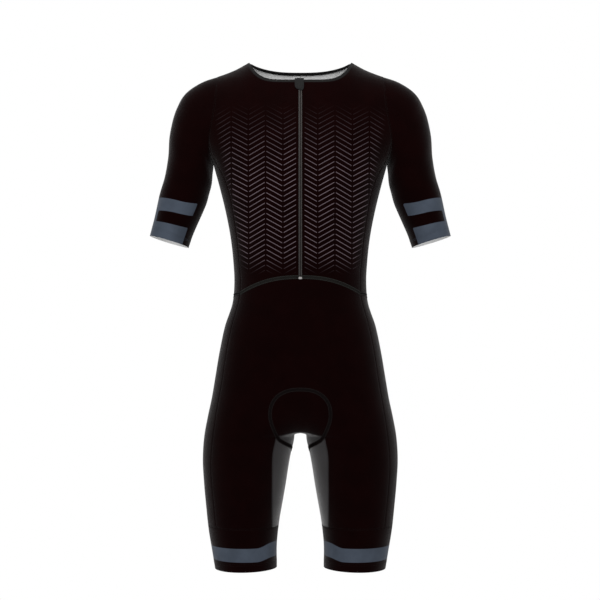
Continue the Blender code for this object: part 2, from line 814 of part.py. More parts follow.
def wall(name, colour, thickness=CLOTH, proud=0.0):
    """A piece of cloth: its stretch of the form as an outer face, an inner face and the edges."""
    quads = [[SKIN[corner][0] for corner in quad] for piece, quad in QUADS if piece == name]
    known = {index: (place, normal) for index, place, normal in SKIN.values()}
    used = sorted({corner for quad in quads for corner in quad})
    places = {corner: known[corner][0].copy() for corner in used}
    normals = {corner: known[corner][1] for corner in used}
    loops = [outward(quad, places, normals) for quad in quads]
    rims = inset(loops, places, normals)
    mesh = bmesh.new()
    outer = {c: mesh.verts.new(places[c] + normals[c] * proud) for c in used}
    inner = {c: mesh.verts.new(places[c] + normals[c] * (proud - thickness)) for c in used}
    for triangle in triangles(loops, places):
        mesh.faces.new([outer[c] for c in triangle])
        mesh.faces.new([inner[c] for c in reversed(triangle)])
    for a, b in rims:
        # Neighbours split the faces of a shared seam the same way, so that their edges stay parallel.
        if a < b:
            mesh.faces.new([outer[b], outer[a], inner[b]])
            mesh.faces.new([outer[a], inner[a], inner[b]])
        else:
            mesh.faces.new([outer[b], outer[a], inner[a]])
            mesh.faces.new([outer[b], inner[a], inner[b]])
    return finish(name, mesh, colour, CLOTH_SHARP)


def triangles(loops, places):
    """Splits each quad along its shorter diagonal, so that the two sides of the suit stay mirrored."""
    for quad in loops:
        a, b, c, d = quad
        if (places[a] - places[c]).length < (places[b] - places[d]).length + MERGE:
            yield from ((a, b, c), (a, c, d))
        else:
            yield from ((a, b, d), (b, c, d))


def outward(quad, places, normals):
    """The quad's corners in the order that turns its face outward."""
    facing = (places[quad[2]] - places[quad[0]]).cross(places[quad[3]] - places[quad[1]])
    return quad if facing.dot(normals[quad[0]]) > 0 else quad[::-1]


def zip_half(side):
    """Half of the zip: half of the chain between the panels' edges, and its tape under the panel."""
    gap = SEAM_GAP / 2
    mesh = bmesh.new()
    rings = []
    for row in range(TORSO_ROWS + YOKE_ROWS + 2):
        bound = row >= TORSO_ROWS + YOKE_ROWS
        under = SEAM_GAP + (BINDING - BINDING_PROUD if bound else CLOTH)
        name = ("torso", side, "front", 0, row)
        if name not in SKIN:
            name = ("neck", side, "front", 0, 0)
        _, middle, out = SKIN[name]
        _, edge, edge_out = SKIN["zip", side, "front", 0, row]
        across = (edge - middle).normalized()
        sides = [
            (middle + across * gap, out, CHAIN_PROUD),
            (edge - across * gap, edge_out, CHAIN_PROUD),
            (edge - across * gap, edge_out, -under),
            (edge + across * TAPE_WIDTH, edge_out, -under),
            (edge + across * TAPE_WIDTH, edge_out, -under - TAPE),
            (middle + across * gap, out, -under - TAPE),
        ]
        rings.append([mesh.verts.new(place + normal * lift) for place, normal, lift in sides])
    for low, high in zip(rings, rings[1:]):
        for i in range(len(low)):
            j = (i + 1) % len(low)
            mesh.faces.new([low[i], low[j], high[j], high[i]])
    for end in (rings[0], rings[-1]):
        mesh.faces.new(end)
    return finish("zip_" + WORDS[side], mesh, "zip", TRIM_SHARP)


def front_frame(height):
    """The place on the chest's middle line at a height, its outward normal and its downward line."""
    step = 0.002
    above, below = on_body(0, height + step, "front"), on_body(0, height - step, "front")
    down = (below - above).normalized()
    return on_body(0, height, "front"), Vector((0, down.z, -down.y)), down


def plate(name, middle, size, lift, colour):
    """A small plate on the chest's middle line, with rounded corners, lifted off the cloth."""
    place, out, down = front_frame(middle)
    mesh = bmesh.new()
    bmesh.ops.create_cube(mesh, size=1.0)
    upright = [edge for edge in mesh.edges if abs((edge.verts[0].co - edge.verts[1].co).y) > 0.5]
    for vertex in mesh.verts:
        vertex.co = Vector((vertex.co.x * size[0], vertex.co.y * size[1], vertex.co.z * size[2]))
    corner = PLATE_CORNER * min(size[0], size[2])
    bmesh.ops.bevel(mesh, geom=upright, offset=corner, segments=3, affect="EDGES")
    for vertex in mesh.verts:
        x, y, z = vertex.co
        vertex.co = place + Vector((x, 0, 0)) + out * (lift + size[1] / 2 - y) - down * z
    return finish(name, mesh, colour, TRIM_SHARP)


def slider():
    """The slider and its pull tab, which lies down over it."""
    body = plate("zip_slider", SLIDER_MIDDLE, SLIDER_SIZE, CHAIN_PROUD + SEAM_GAP, "metal")
    lift = CHAIN_PROUD + SEAM_GAP + SLIDER_SIZE[1] / 2
    tab = plate("tab", TAB_MIDDLE, TAB_SIZE, lift, "metal")
    union = body.modifiers.new("tab", "BOOLEAN")
    union.operation, union.object = "UNION", tab
    tab.hide_render, tab.display_type = True, "WIRE"


def garage_rows():
    """The flap's rows, up the inside of the neck's edge, over it and down the outside.

    Each is its distance down from the edge, its lift off the cloth and its turn.
    """
    for step in range(GARAGE_INSIDE_ROWS):
        yield GARAGE_INSIDE * (1 - step / GARAGE_INSIDE_ROWS), -GARAGE_UNDER, math.pi
    middle, radius = (GARAGE_LIFT - GARAGE_UNDER) / 2, (GARAGE_LIFT + GARAGE_UNDER) / 2
    for step in range(GARAGE_FOLD_ROWS + 1):
        turn = math.pi * (1 - step / GARAGE_FOLD_ROWS)
        yield -radius * math.sin(turn), middle + radius * math.cos(turn), turn
    for step in range(1, GARAGE_OUTSIDE_ROWS + 1):
        share = step / GARAGE_OUTSIDE_ROWS
        crown = GARAGE_CROWN * ease(GARAGE_FULLNESS * math.sin(math.pi * share))
        yield GARAGE_OUTSIDE * share, GARAGE_LIFT + crown, 0.0


def garage():
    """The flap that is folded over the top of the zip, with a round lower corner."""
    edge, _, down = front_frame(NECK_FRONT)
    low, high = GARAGE_SIDES
    mesh = bmesh.new()
    under, over = [], []
    for along, lift, turn in garage_rows():
        place, out, here = front_frame(NECK_FRONT - max(along, 0.0) * abs(down.z))
        if along < 0:
            place = edge + down * along
        normal = out * math.cos(turn) - here * math.sin(turn)
        left = max(along - GARAGE_OUTSIDE + GARAGE_CORNER, 0.0)
        cut = GARAGE_CORNER - math.sqrt(GARAGE_CORNER**2 - left**2)
        sag = GARAGE_SAG * max(lift - GARAGE_LIFT, 0.0)
        places = []
        for i in range(GARAGE_COLUMNS + 1):
            across = i / GARAGE_COLUMNS
            x = mix(low + cut, high - GARAGE_TAPER * cut, across)
            places.append(place + Vector((x, 0, 0)) + out * (lift - sag * (2 * across - 1) ** 2))
        under.append([mesh.verts.new(inner) for inner in places])
        over.append([mesh.verts.new(inner + normal * GARAGE_CLOTH) for inner in places])
    last = len(over) - 1
    for r in range(last):
        for i in range(GARAGE_COLUMNS):
            mesh.faces.new([over[r][i], over[r][i + 1], over[r + 1][i + 1], over[r + 1][i]])
            mesh.faces.new([under[r][i], under[r + 1][i], under[r + 1][i + 1], under[r][i + 1]])
        for i in (0, GARAGE_COLUMNS):
            mesh.faces.new([over[r][i], over[r + 1][i], under[r + 1][i], under[r][i]])
    for r in (0, last):
        for i in range(GARAGE_COLUMNS):
            mesh.faces.new([over[r][i], over[r][i + 1], under[r][i + 1], under[r][i]])
    return finish("zip_garage", mesh, "garage", CLOTH_SHARP)


def main():
    for old in list(bpy.data.objects):
        bpy.data.objects.remove(old, do_unlink=True)
    for side in WORDS:
        torso_points(side)
        shorts_points(side)
        sleeve_points(side)
        torso_faces(side)
        sleeve_faces(side)
        shorts_faces(side)
    SKIN.update(whole_form())
    for word in WORDS.values():
        for piece in ("front_", "sleeve_", "leg_cuff_"):
            wall(piece + word, "black")
        wall("inner_leg_" + word, "grey_knit")
    for piece in ("back", "shorts_front", "shorts_back"):
        wall(piece, "black")
    wall("neck_binding", "binding", BINDING, BINDING_PROUD)
    for side in WORDS:
        zip_half(side)
    plate("zip_stop", STOP_MIDDLE, STOP_SIZE, CHAIN_PROUD + SEAM_GAP, "metal")
    slider()
    garage()


main()
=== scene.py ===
"""How the triathlon suit looks: its knit, seams, stitching, zip, bands and print, on the form of its solids.

Metres, +Z up. The front faces -Y and the wearer's left is +X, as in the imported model.

The cloth's form is worked out again here from the same charts as the solids, in finer steps. The pieces are
thin closed shells cut from it, so that they meet at their seams. Stitches, the zip's coil and the folded
trims are meshes of their own, laid on that form.
"""

import math
from bisect import bisect

import bmesh
import bpy
import numpy as np
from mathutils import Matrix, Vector, kdtree
from mathutils.bvhtree import BVHTree


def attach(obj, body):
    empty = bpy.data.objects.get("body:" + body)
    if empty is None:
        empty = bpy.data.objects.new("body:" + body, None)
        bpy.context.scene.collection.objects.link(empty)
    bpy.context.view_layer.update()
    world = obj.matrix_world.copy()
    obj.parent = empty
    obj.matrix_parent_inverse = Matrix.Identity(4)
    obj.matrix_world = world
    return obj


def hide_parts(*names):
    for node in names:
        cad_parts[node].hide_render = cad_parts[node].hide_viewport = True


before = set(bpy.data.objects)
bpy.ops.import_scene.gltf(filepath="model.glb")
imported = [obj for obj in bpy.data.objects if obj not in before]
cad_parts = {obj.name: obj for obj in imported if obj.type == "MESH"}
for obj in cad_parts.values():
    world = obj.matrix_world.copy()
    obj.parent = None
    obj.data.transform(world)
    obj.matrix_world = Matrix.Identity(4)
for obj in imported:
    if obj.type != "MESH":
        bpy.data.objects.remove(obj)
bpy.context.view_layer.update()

# The neck's binding: how thick and how high it is
BINDING = 0.0024
BINDING_HEIGHT = 0.0045

# Main heights, from the neck points down
NECK_FRONT = -0.0396
NECK_BACK = -0.0095
ARMHOLE_TOP = -0.0267
ARMPIT = -0.1877
ARMHOLE_MIDDLE, ARMHOLE_HALF = (ARMHOLE_TOP + ARMPIT) / 2, (ARMHOLE_TOP - ARMPIT) / 2
WAIST = -0.3950
WAIST_DROP_SIDE = 0.0290
WAIST_DROP_BACK = 0.0450
CROTCH = -0.6800
ARCH_FRONT = -0.6753
ARCH_BACK = -0.6700
ARCH_CORNER = -0.6835
CUFF_SEAM = -0.8490
HEM = -0.9280
HEM_RISE_INSIDE = 0.0030

# Main widths
NECK_POINT = 0.0935
SHOULDER_POINT = 0.1530
ARCH_RADIUS = 0.0040
ARCH_DROP = 0.0100
VALLEY_ROUND = 0.0120  # how far the valley between the two halves is rounded, above the crotch

# How the lines bend
NECK_BEND = {"front": 5.6, "back": 2.6}
NECK_FULL = {"front": 1.0, "back": 1.05}  # how much sooner the neckline is as high as the neck point
WAIST_BEND = 2.4
ARCH_BEND = 1.6
FLANK_DROP = 0.6  # how much of the waist seam's drop to the back is on the flank
YOKE_DIP = 0.024  # the row that ends at the armhole's corner is this much lower in the middle

# The yoke: how each side of the chest closes up to the shoulder's ridge
YOKE = {
    "front": {"base": -0.190, "fall": 2.4, "turn": 1.9, "round": 2.0},
    "back": {"base": -0.160, "fall": 3.0, "turn": 1.9, "round": 2.1},
}
YOKE_BLEND = 0.080
PART_TOP = {"front": -0.600, "back": -0.565}  # where the two halves start to part above the crotch
PART_POWER = 3.0
ARMHOLE_DEPTH = {"front": 0.066, "back": 0.072}
ARMHOLE_ROUND = 2.1
RING_TOP = ARMHOLE_TOP - 0.0020  # above this height the body's ring is as wide as here

# Columns and rows of the form
NECK_COLUMNS = 7
FRONT_COLUMNS = 10
INNER_COLUMN = 3
FLANK_COLUMNS = 8
INSIDE_COLUMNS = 8
TORSO_ROWS = 11
YOKE_ROWS = 8
HIP_ROWS = 14
HIP_CROWDING = 1.4  # the rows of the hips get closer towards the crotch
THIGH_ROWS = 7
CUFF_ROWS = 4
COLUMN_FAN = math.radians(64)
FLANK_TURN = 4  # how late the flank's columns turn to the armhole's own
SLEEVE_COLUMNS = 24
ARMHOLE_STEP = 2 * math.pi / SLEEVE_COLUMNS
SLEEVE_ROWS = (  # distances along the sleeve
    *(0.0, 0.009, 0.020, 0.033, 0.048, 0.066, 0.086),
    *(0.108, 0.132, 0.156, 0.180, 0.203, 0.224, 0.2445),
)

# Zip
CHAIN_HALF = 0.0033
GARAGE_SIDES = (-0.0101, 0.0066)
GARAGE_CLOTH = 0.0011
GARAGE_OUTSIDE = 0.0255  # how far down the flap reaches on each side of the neck's edge
GARAGE_INSIDE = 0.0090
GARAGE_LIFT = 0.0010  # how far it stays off the cloth outside, in its middle more, and inside
GARAGE_CROWN = 0.0032
GARAGE_UNDER = 0.0033
GARAGE_CORNER = 0.0110
GARAGE_TAPER = 0.25  # how much of the round corner its other side has
GARAGE_FULLNESS = 1.4
GARAGE_SAG = 0.75  # how much of the crown its sides lose
GARAGE_COLUMNS = 6
GARAGE_INSIDE_ROWS = 3
GARAGE_FOLD_ROWS = 6
GARAGE_OUTSIDE_ROWS = 9


def chart(names, *rows):
    """A chart with named columns. Its first column says where each row is."""
    rows = sorted(rows)
    places = [row[0] for row in rows]
    columns = {}
    for name, values in zip(names.split(), zip(*rows)):
        columns[name] = (places, values, np.gradient(values, places))
    return columns


# Half of the body and its leg: half the width over all, how far the front and the back stand from the
# mid-plane, where the ring's own centre line runs, and how square the ring is.
BODY = chart(
    "height half_width front back centre round",
    (-0.188, 0.1595, 0.1150, 0.1170, 0.0000, 2.30),
    (-0.230, 0.1479, 0.1140, 0.1120, 0.0000, 2.30),
    (-0.274, 0.1371, 0.1095, 0.1030, 0.0000, 2.28),
    (-0.318, 0.1286, 0.1035, 0.0945, 0.0000, 2.26),
    (-0.363, 0.1233, 0.0990, 0.0885, 0.0000, 2.25),
    (-0.407, 0.1213, 0.0972, 0.0880, 0.0030, 2.25),
    (-0.440, 0.1242, 0.0985, 0.0930, 0.0120, 2.25),
    (-0.484, 0.1384, 0.1020, 0.1070, 0.0300, 2.25),
    (-0.528, 0.1478, 0.1040, 0.1230, 0.0480, 2.25),
    (-0.583, 0.1571, 0.1035, 0.1320, 0.0660, 2.22),
    (-0.616, 0.1627, 0.1018, 0.1290, 0.0770, 2.18),
    (-0.650, 0.1700, 0.0990, 0.1180, 0.0860, 2.14),
    (-0.683, 0.1761, 0.0962, 0.1050, 0.0930, 2.10),
    (-0.727, 0.1792, 0.0920, 0.0965, 0.0994, 2.08),
    (-0.771, 0.1770, 0.0872, 0.0900, 0.1017, 2.06),
    (-0.815, 0.1730, 0.0825, 0.0845, 0.1035, 2.05),
    (-0.859, 0.1682, 0.0785, 0.0805, 0.1045, 2.05),
    (-0.892, 0.1627, 0.0752, 0.0775, 0.1030, 2.05),
    (-0.928, 0.1568, 0.0722, 0.0748, 0.0994, 2.05),
)

# The inside line of the leg, below the round arch between the legs
INSIDE = chart(
    "height across",
    (-0.679, 0.0103),
    (-0.694, 0.0118),
    (-0.716, 0.0171),
    (-0.738, 0.0212),
    (-0.771, 0.0263),
    (-0.804, 0.0320),
    (-0.837, 0.0379),
    (-0.859, 0.0408),
    (-0.881, 0.0429),
    (-0.928, 0.0430),
)

# Round the flank: the side seam, in front of the widest line, and the column behind it where the back's
# own columns start
FLANK = chart(
    "height side_seam back_column",
    (-0.149, 0.1655, 0.1655),
    (-0.170, 0.1610, 0.1600),
    (-0.190, 0.1515, 0.1500),
    (-0.212, 0.1390, 0.1400),
    (-0.240, 0.1290, 0.1305),
    (-0.274, 0.1222, 0.1229),
    (-0.318, 0.1155, 0.1152),
    (-0.363, 0.1112, 0.1104),
    (-0.424, 0.1090, 0.1101),
    (-0.484, 0.1240, 0.1270),
    (-0.528, 0.1330, 0.1373),
    (-0.583, 0.1414, 0.1474),
    (-0.650, 0.1530, 0.1608),
    (-0.727, 0.1613, 0.1702),
    (-0.815, 0.1557, 0.1651),
    (-0.892, 0.1464, 0.1559),
    (-0.928, 0.1411, 0.1502),
)

# The seam of the inner-leg panels, and its column above the crotch
INNER_SEAM = chart(
    "height across",
    (-0.395, 0.0400),
    (-0.500, 0.0470),
    (-0.600, 0.0495),
    (-0.650, 0.0470),
    (-0.684, 0.0440),
    (-0.710, 0.0490),
    (-0.760, 0.0505),
    (-0.928, 0.0505),
)

# The shoulder's ridge by its distance from the middle, and the armhole by its height
RIDGE = chart(
    "across height",
    (0.000, 0.0120),
    (0.050, 0.0110),
    (0.0935, 0.0000),
    (0.118, -0.0129),
    (0.146, -0.0239),
    (0.163, -0.0294),
)
ARMHOLE = chart(
    "height across",
    (-0.0267, 0.1530),
    (-0.0560, 0.1532),
    (-0.0830, 0.1548),
    (-0.1130, 0.1600),
    (-0.1320, 0.1637),
    (-0.1490, 0.1655),
    (-0.1700, 0.1640),
    (-0.1877, 0.1597),
)

# The sleeve, by the distance along its middle: the outer and inner lines, and the depths each way
SLEEVE = chart(
    "along outer_x outer_z inner_x inner_z front back",
    (0.0000, 0.1530, -0.0267, 0.1597, -0.1877, 0.0660, 0.0720),
    (0.0150, 0.1777, -0.0350, 0.1603, -0.1940, 0.0645, 0.0695),
    (0.0330, 0.2048, -0.0515, 0.1612, -0.2010, 0.0620, 0.0660),
    (0.0630, 0.2272, -0.0846, 0.1632, -0.2226, 0.0580, 0.0605),
    (0.0950, 0.2396, -0.1306, 0.1674, -0.2392, 0.0545, 0.0560),
    (0.1280, 0.2430, -0.1748, 0.1730, -0.2594, 0.0520, 0.0530),
    (0.1525, 0.2486, -0.2079, 0.1792, -0.2742, 0.0505, 0.0512),
    (0.1820, 0.2583, -0.2410, 0.1890, -0.2962, 0.0492, 0.0500),
    (0.2160, 0.2680, -0.2852, 0.1985, -0.3183, 0.0480, 0.0490),
    (0.2445, 0.2766, -0.3183, 0.2057, -0.3395, 0.0470, 0.0482),
)
SLEEVE_PITCH = 0.045  # the sleeve's hem drops this much for each metre towards the back
BULGE_ENDS = 0.060  # how far down the sleeve it still follows the armhole's own bulge

FACES = ("front", "back")
WORDS = {1: "left", -1: "right"}


def curve(rows, name, where):
    """Column `name` of a chart at `where`, on a smooth curve through its rows."""
    places, values, slopes = rows[name]
    i = min(max(bisect(places, where) - 1, 0), len(places) - 2)
    step = places[i + 1] - places[i]
    t = min(max((where - places[i]) / step, 0.0), 1.0)
    start = (1 + 2 * t) * (1 - t) ** 2 * values[i] + t * (1 - t) ** 2 * step * slopes[i]
    end = t * t * (3 - 2 * t) * values[i + 1] + t * t * (t - 1) * step * slopes[i + 1]
    return float(start + end)


def arc(share, power):
    """The height of a superellipse of this power, as a share of its own height."""
    return (1 - min(abs(share), 1.0) ** power) ** (1 / power)


def power_of(value, power):
    return math.copysign(abs(value) ** power, value)


def mix(a, b, share):
    return a + (b - a) * share


def smooth(share):
    return share * share * (3 - 2 * share)


def ease(share):
    return smooth(min(max(share, 0.0), 1.0))


# The body's surface


def armhole_depth(height, face):
    return ARMHOLE_DEPTH[face] * arc((height - ARMHOLE_MIDDLE) / ARMHOLE_HALF, ARMHOLE_ROUND)


def armhole_point(angle):
    """The armhole at an angle from its top, through its front and the armpit to its back."""
    height = ARMHOLE_MIDDLE + ARMHOLE_HALF * power_of(math.cos(angle), 2 / ARMHOLE_ROUND)
    face = "front" if math.sin(angle) > 0 else "back"
    y = -ARMHOLE_DEPTH[face] * power_of(math.sin(angle), 2 / ARMHOLE_ROUND)
    return Vector((curve(ARMHOLE, "across", height), y, height))


def roundness(height, face):
    """How square the body's ring is. It gets rounder from the chest up."""
    above = ease((height - YOKE[face]["base"]) / YOKE_BLEND)
    return mix(curve(BODY, "round", height), YOKE[face]["round"], above)


def closing(x, height, face):
    """The share of the chest's depth that is left this high, towards the shoulder's ridge."""
    yoke = YOKE[face]
    rise = (height - yoke["base"]) / (curve(RIDGE, "height", x) - yoke["base"])
    return (1 - min(max(rise, 0.0), 1.0) ** yoke["fall"]) ** (1 / yoke["turn"])


def half_width(height, face):
    """Half the width of the body's ring. Above the armpit the ring runs on through the armhole."""
    if height <= ARMPIT:
        return curve(BODY, "half_width", height)
    height = min(height, RING_TOP)
    x = curve(ARMHOLE, "across", height)
    reach = curve(BODY, face, height) * closing(x, height, face)
    return x / arc(armhole_depth(height, face) / reach, roundness(height, face))


def inside(height):
    """How far the inside of the leg is from the mid-plane."""
    if height >= CROTCH:
        return 0.0
    up = 1 - min((CROTCH - height) / ARCH_RADIUS, 1.0)
    return curve(INSIDE, "across", height) * math.sqrt(1 - up * up)


def inner_reach(height, face):
    """Half the width of the ring's inner side, which runs on past the mid-plane above the crotch."""
    centre = curve(BODY, "centre", height)
    if height < CROTCH:
        return centre - inside(height)
    down = (PART_TOP[face] - height) / (PART_TOP[face] - CROTCH)
    if down <= 0:
        return math.inf
    left = math.sqrt(1 - min(down, 1.0) ** PART_POWER)
    return centre / arc(left, roundness(height, face))


def depth(x, height, face):
    """How far the front or the back stands from the mid-plane, at a place seen from the front."""
    centre = curve(BODY, "centre", height)
    if x >= centre:
        share = (x - centre) / (half_width(height, face) - centre)
    else:
        rounding = max(2 * VALLEY_ROUND - x, 0.0) ** 2 / (4 * VALLEY_ROUND) if height > CROTCH else 0.0
        share = (centre - x - rounding) / inner_reach(height, face)
    reach = curve(BODY, face, height) * arc(share, roundness(height, face))
    return reach * closing(x, height, face)


def on_body(x, height, face):
    y = depth(x, height, face)
    return Vector((x, -y if face == "front" else y, height))


def ring_angle(across, height, face):
    """The angle round half of the body's ring, from its front, of a place this far across."""
    centre = curve(BODY, "centre", height)
    share = (across - centre) / (half_width(height, face) - centre)
    angle = math.asin(min(share, 1.0) ** (roundness(height, face) / 2))
    return angle if face == "front" else math.pi - angle


def armhole_angle(share):
    """The angle round the body's ring of the armhole's point at this share of the flank."""
    place = armhole_point((YOKE_ROWS + share * FLANK_COLUMNS) * ARMHOLE_STEP)
    face = "front" if place.y < 0 else "back"
    reach = curve(BODY, face, place.z) * closing(place.x, place.z, face)
    return math.acos(power_of(-place.y / reach, roundness(place.z, face) / 2))


def flank_angle(share, height):
    """The angle round the body's ring, from the side seam at 0 to the back's first column at 1."""
    start = ring_angle(curve(FLANK, "side_seam", height), height, "front")
    end = ring_angle(curve(FLANK, "back_column", height), height, "back")
    return mix(start, end, share)


def on_flank(share, height, rise=0.0):
    """A point round the flank. Towards a rise of 1 the columns turn to the ones that start the sleeve."""
    angle = flank_angle(share, height)
    if rise > 0:
        top = armhole_point((YOKE_ROWS + share * FLANK_COLUMNS) * ARMHOLE_STEP).z
        angle += (armhole_angle(share) - flank_angle(share, top)) * rise**FLANK_TURN
    face = "front" if angle < math.pi / 2 else "back"
    centre, power = curve(BODY, "centre", height), 2 / roundness(height, face)
    x = centre + (half_width(height, face) - centre) * math.sin(angle) ** power
    y = -curve(BODY, face, height) * closing(x, height, face) * power_of(math.cos(angle), power)
    return Vector((x, y, height))


def column_share(i):
    """Column i of a half front or back, as a share of the way from the middle to its edge."""
    return math.sin(COLUMN_FAN * i / FRONT_COLUMNS) / math.sin(COLUMN_FAN)


def edge_x(height, face):
    """How far out the columns of a half front or back reach."""
    return curve(FLANK, "side_seam" if face == "front" else "back_column", height)


# The lines that the pieces are cut along


def flank_waist(share):
    """The height of the waist seam round the flank, from the side seam to the back's first column."""
    return mix(WAIST - WAIST_DROP_SIDE, WAIST - WAIST_DROP_BACK, FLANK_DROP * ease(share))


def waist_height(face, i):
    """The height of the waist seam at a column: it drops from its middle to the side seams and the back."""
    if face == "front":
        return WAIST - WAIST_DROP_SIDE * column_share(i) ** WAIST_BEND
    return mix(WAIST - WAIST_DROP_BACK, flank_waist(1.0), ease(column_share(i)))


def neckline(share, face, lower):
    """A point on the neckline's edge, or on the seam of its binding, from the middle to the neck point."""
    below = BINDING_HEIGHT if lower else 0.0
    middle = (NECK_FRONT if face == "front" else NECK_BACK) - below
    part = math.sin(share * math.pi / 2)
    rise = min(part * NECK_FULL[face], 1.0) ** NECK_BEND[face]
    height = mix(middle, curve(RIDGE, "height", NECK_POINT + below), rise)
    return (NECK_POINT + below) * part, height


def top_of_yoke(i, face):
    """Where column i ends: on the binding's seam, and further out on the shoulder seam."""
    if i <= NECK_COLUMNS:
        return neckline(i / NECK_COLUMNS, face, True)
    share = (i - NECK_COLUMNS) / (FRONT_COLUMNS - NECK_COLUMNS)
    x = mix(NECK_POINT + BINDING_HEIGHT, SHOULDER_POINT, share)
    return x, curve(RIDGE, "height", x)


def arch(i, face):
    """The height of the lowest row that runs from one leg to the other."""
    middle = ARCH_FRONT if face == "front" else ARCH_BACK
    return mix(middle, ARCH_CORNER, min(i / INNER_COLUMN, 1.0) ** ARCH_BEND)


def hem(share):
    """The height of the leg's hem at a column, which rises towards the inside of the leg."""
    return HEM + HEM_RISE_INSIDE * ease(1 - share)


def shorts_height(row, waist, foot, end):
    """The height of a row of the shorts, between the waist seam, the arch, the cuff's seam and the hem."""
    if row <= HIP_ROWS:
        return mix(waist, foot, 1 - (1 - row / HIP_ROWS) ** HIP_CROWDING)
    if row <= HIP_ROWS + THIGH_ROWS:
        return mix(foot, CUFF_SEAM, (row - HIP_ROWS) / THIGH_ROWS)
    return mix(CUFF_SEAM, end, (row - HIP_ROWS - THIGH_ROWS) / CUFF_ROWS)


# The form's points on the wearer's left, by their column and row


def torso_point(face, i, row):
    """Half of the torso, from the waist seam to the neckline, the shoulder seam and the armhole."""
    share, corner = column_share(i), armhole_point(YOKE_ROWS * ARMHOLE_STEP).z
    foot = mix(corner - YOKE_DIP, corner, share**2)
    if row < TORSO_ROWS:
        rise = row / TORSO_ROWS
        side = mix(waist_height(face, FRONT_COLUMNS), corner, rise)
        return on_body(share * edge_x(side, face), mix(waist_height(face, i), foot, rise), face)
    angle = (TORSO_ROWS + YOKE_ROWS - row) * ARMHOLE_STEP
    edge = armhole_point(angle if face == "front" else -angle)
    if i == FRONT_COLUMNS:
        return edge
    up = (edge.z - corner) / (ARMHOLE_TOP - corner)
    top_x, top_height = top_of_yoke(i, face)
    return on_body(edge.x * mix(share, top_x / SHOULDER_POINT, up), mix(foot, top_height, up), face)


def neck_point(face, i):
    """The neckline's edge."""
    x, height = neckline(i / NECK_COLUMNS, face, False)
    return on_body(x, height, face)


def flank_point(j, row):
    """The back panel's stretch round the flank, up to the armhole."""
    share, rise = j / FLANK_COLUMNS, row / TORSO_ROWS
    top = armhole_point((YOKE_ROWS + j) * ARMHOLE_STEP)
    if row == TORSO_ROWS:
        return top
    return on_flank(share, mix(flank_waist(share), top.z, rise), rise)


def hip_point(j, row):
    """The shorts' stretch round the flank."""
    share = j / FLANK_COLUMNS
    return on_flank(share, shorts_height(row, flank_waist(share), ARCH_CORNER, HEM))


def shorts_point(face, i, row):
    """Half of the shorts' front or back: across the hips down to the arch, then down the leg."""
    share, inner = column_share(i), column_share(INNER_COLUMN)
    height = shorts_height(row, waist_height(face, i), arch(i, face), hem(share))
    edge = edge_x(shorts_height(row, waist_height(face, FRONT_COLUMNS), ARCH_CORNER, HEM), face)
    seam = mix(inner * edge, curve(INNER_SEAM, "across", height), ease(row / HIP_ROWS))
    x = seam * share / inner if i <= INNER_COLUMN else mix(seam, edge, (share - inner) / (1 - inner))
    return on_body(x, height, face)


def inner_end(face, row):
    """The column and row of the shorts that a row of the inner leg ends at."""
    if row <= INNER_COLUMN:
        return face, row, HIP_ROWS
    return face, INNER_COLUMN, HIP_ROWS + row - INNER_COLUMN


def inner_leg_point(j, row):
    """The inside of the leg. Its first rows start at the mid-plane, under the crotch."""
    ends = {face: shorts_point(*inner_end(face, row)) for face in FACES}
    if row <= INNER_COLUMN:
        height = CROTCH - ARCH_DROP * (row / INNER_COLUMN) ** 2
    else:
        sag = (ARCH_CORNER - CROTCH + ARCH_DROP) * (1 - ease(row - INNER_COLUMN))
        height = (ends["front"].z + ends["back"].z) / 2 - sag
    half = INSIDE_COLUMNS / 2
    face = "front" if j < half else "back"
    return on_inside(Vector((inside(height), 0.0, height)), ends[face], face, abs(j - half) / half)


def on_inside(middle, end, face, away):
    """A point on the inner side of a leg's ring, from its middle at 0 to its end at 1."""
    power = roundness(end.z, face)
    full = min(abs(end.y) / curve(BODY, face, end.z), 1.0)
    part = math.sin(away * math.asin(full))
    bend = (1 - arc(part, power)) / (1 - arc(full, power))
    y = mix(middle.y, end.y, part / full)
    return Vector((mix(middle.x, end.x, bend), y, mix(middle.z, end.z, bend)))


def sleeve_point(k, row):
    """A sleeve: ovals between its outer and inner lines, from the armhole to the hem."""
    start = armhole_point(k * ARMHOLE_STEP)
    if row == 0:
        return start
    along = float(np.interp(row, range(len(SLEEVE_ROWS)), SLEEVE_ROWS))
    line = {name: curve(SLEEVE, name, along) for name in SLEEVE}
    outer = Vector((line["outer_x"], 0, line["outer_z"]))
    inner = Vector((line["inner_x"], 0, line["inner_z"]))
    up = (start.z - ARMPIT) / (ARMHOLE_TOP - ARMPIT)
    straight = mix(curve(ARMHOLE, "across", ARMPIT), curve(ARMHOLE, "across", ARMHOLE_TOP), up)
    bulge = (start.x - straight) * (1 - ease(along / BULGE_ENDS))
    face = "front" if start.y < 0 else "back"
    y = start.y / ARMHOLE_DEPTH[face] * line[face]
    drop = SLEEVE_PITCH * ease(along / SLEEVE_ROWS[-1]) * y
    return inner + (outer - inner) * up + Vector((bulge, y, -drop))


# The fine form: the same columns and rows in finer steps, and two more steps beside each seam

DETAIL = 5
BY_A_SEAM = (0.07, 0.14)
ZIP_FOLD_COLUMN = 0.26  # one more column at the edge of the fold beside the zip
WELD = 1e-5
TOP = TORSO_ROWS + YOKE_ROWS
CUFF_SEAM_ROW = HIP_ROWS + THIGH_ROWS
LEG_END = CUFF_SEAM_ROW + CUFF_ROWS


def steps(count, *seams):
    """The fine steps along this many columns or rows."""
    made = {round(n / DETAIL, 3) for n in range(count * DETAIL + 1)}
    for seam in seams:
        for extra in BY_A_SEAM:
            made |= {round(at, 3) for at in (seam - extra, seam + extra) if 0 < at < count}
    return sorted(made)


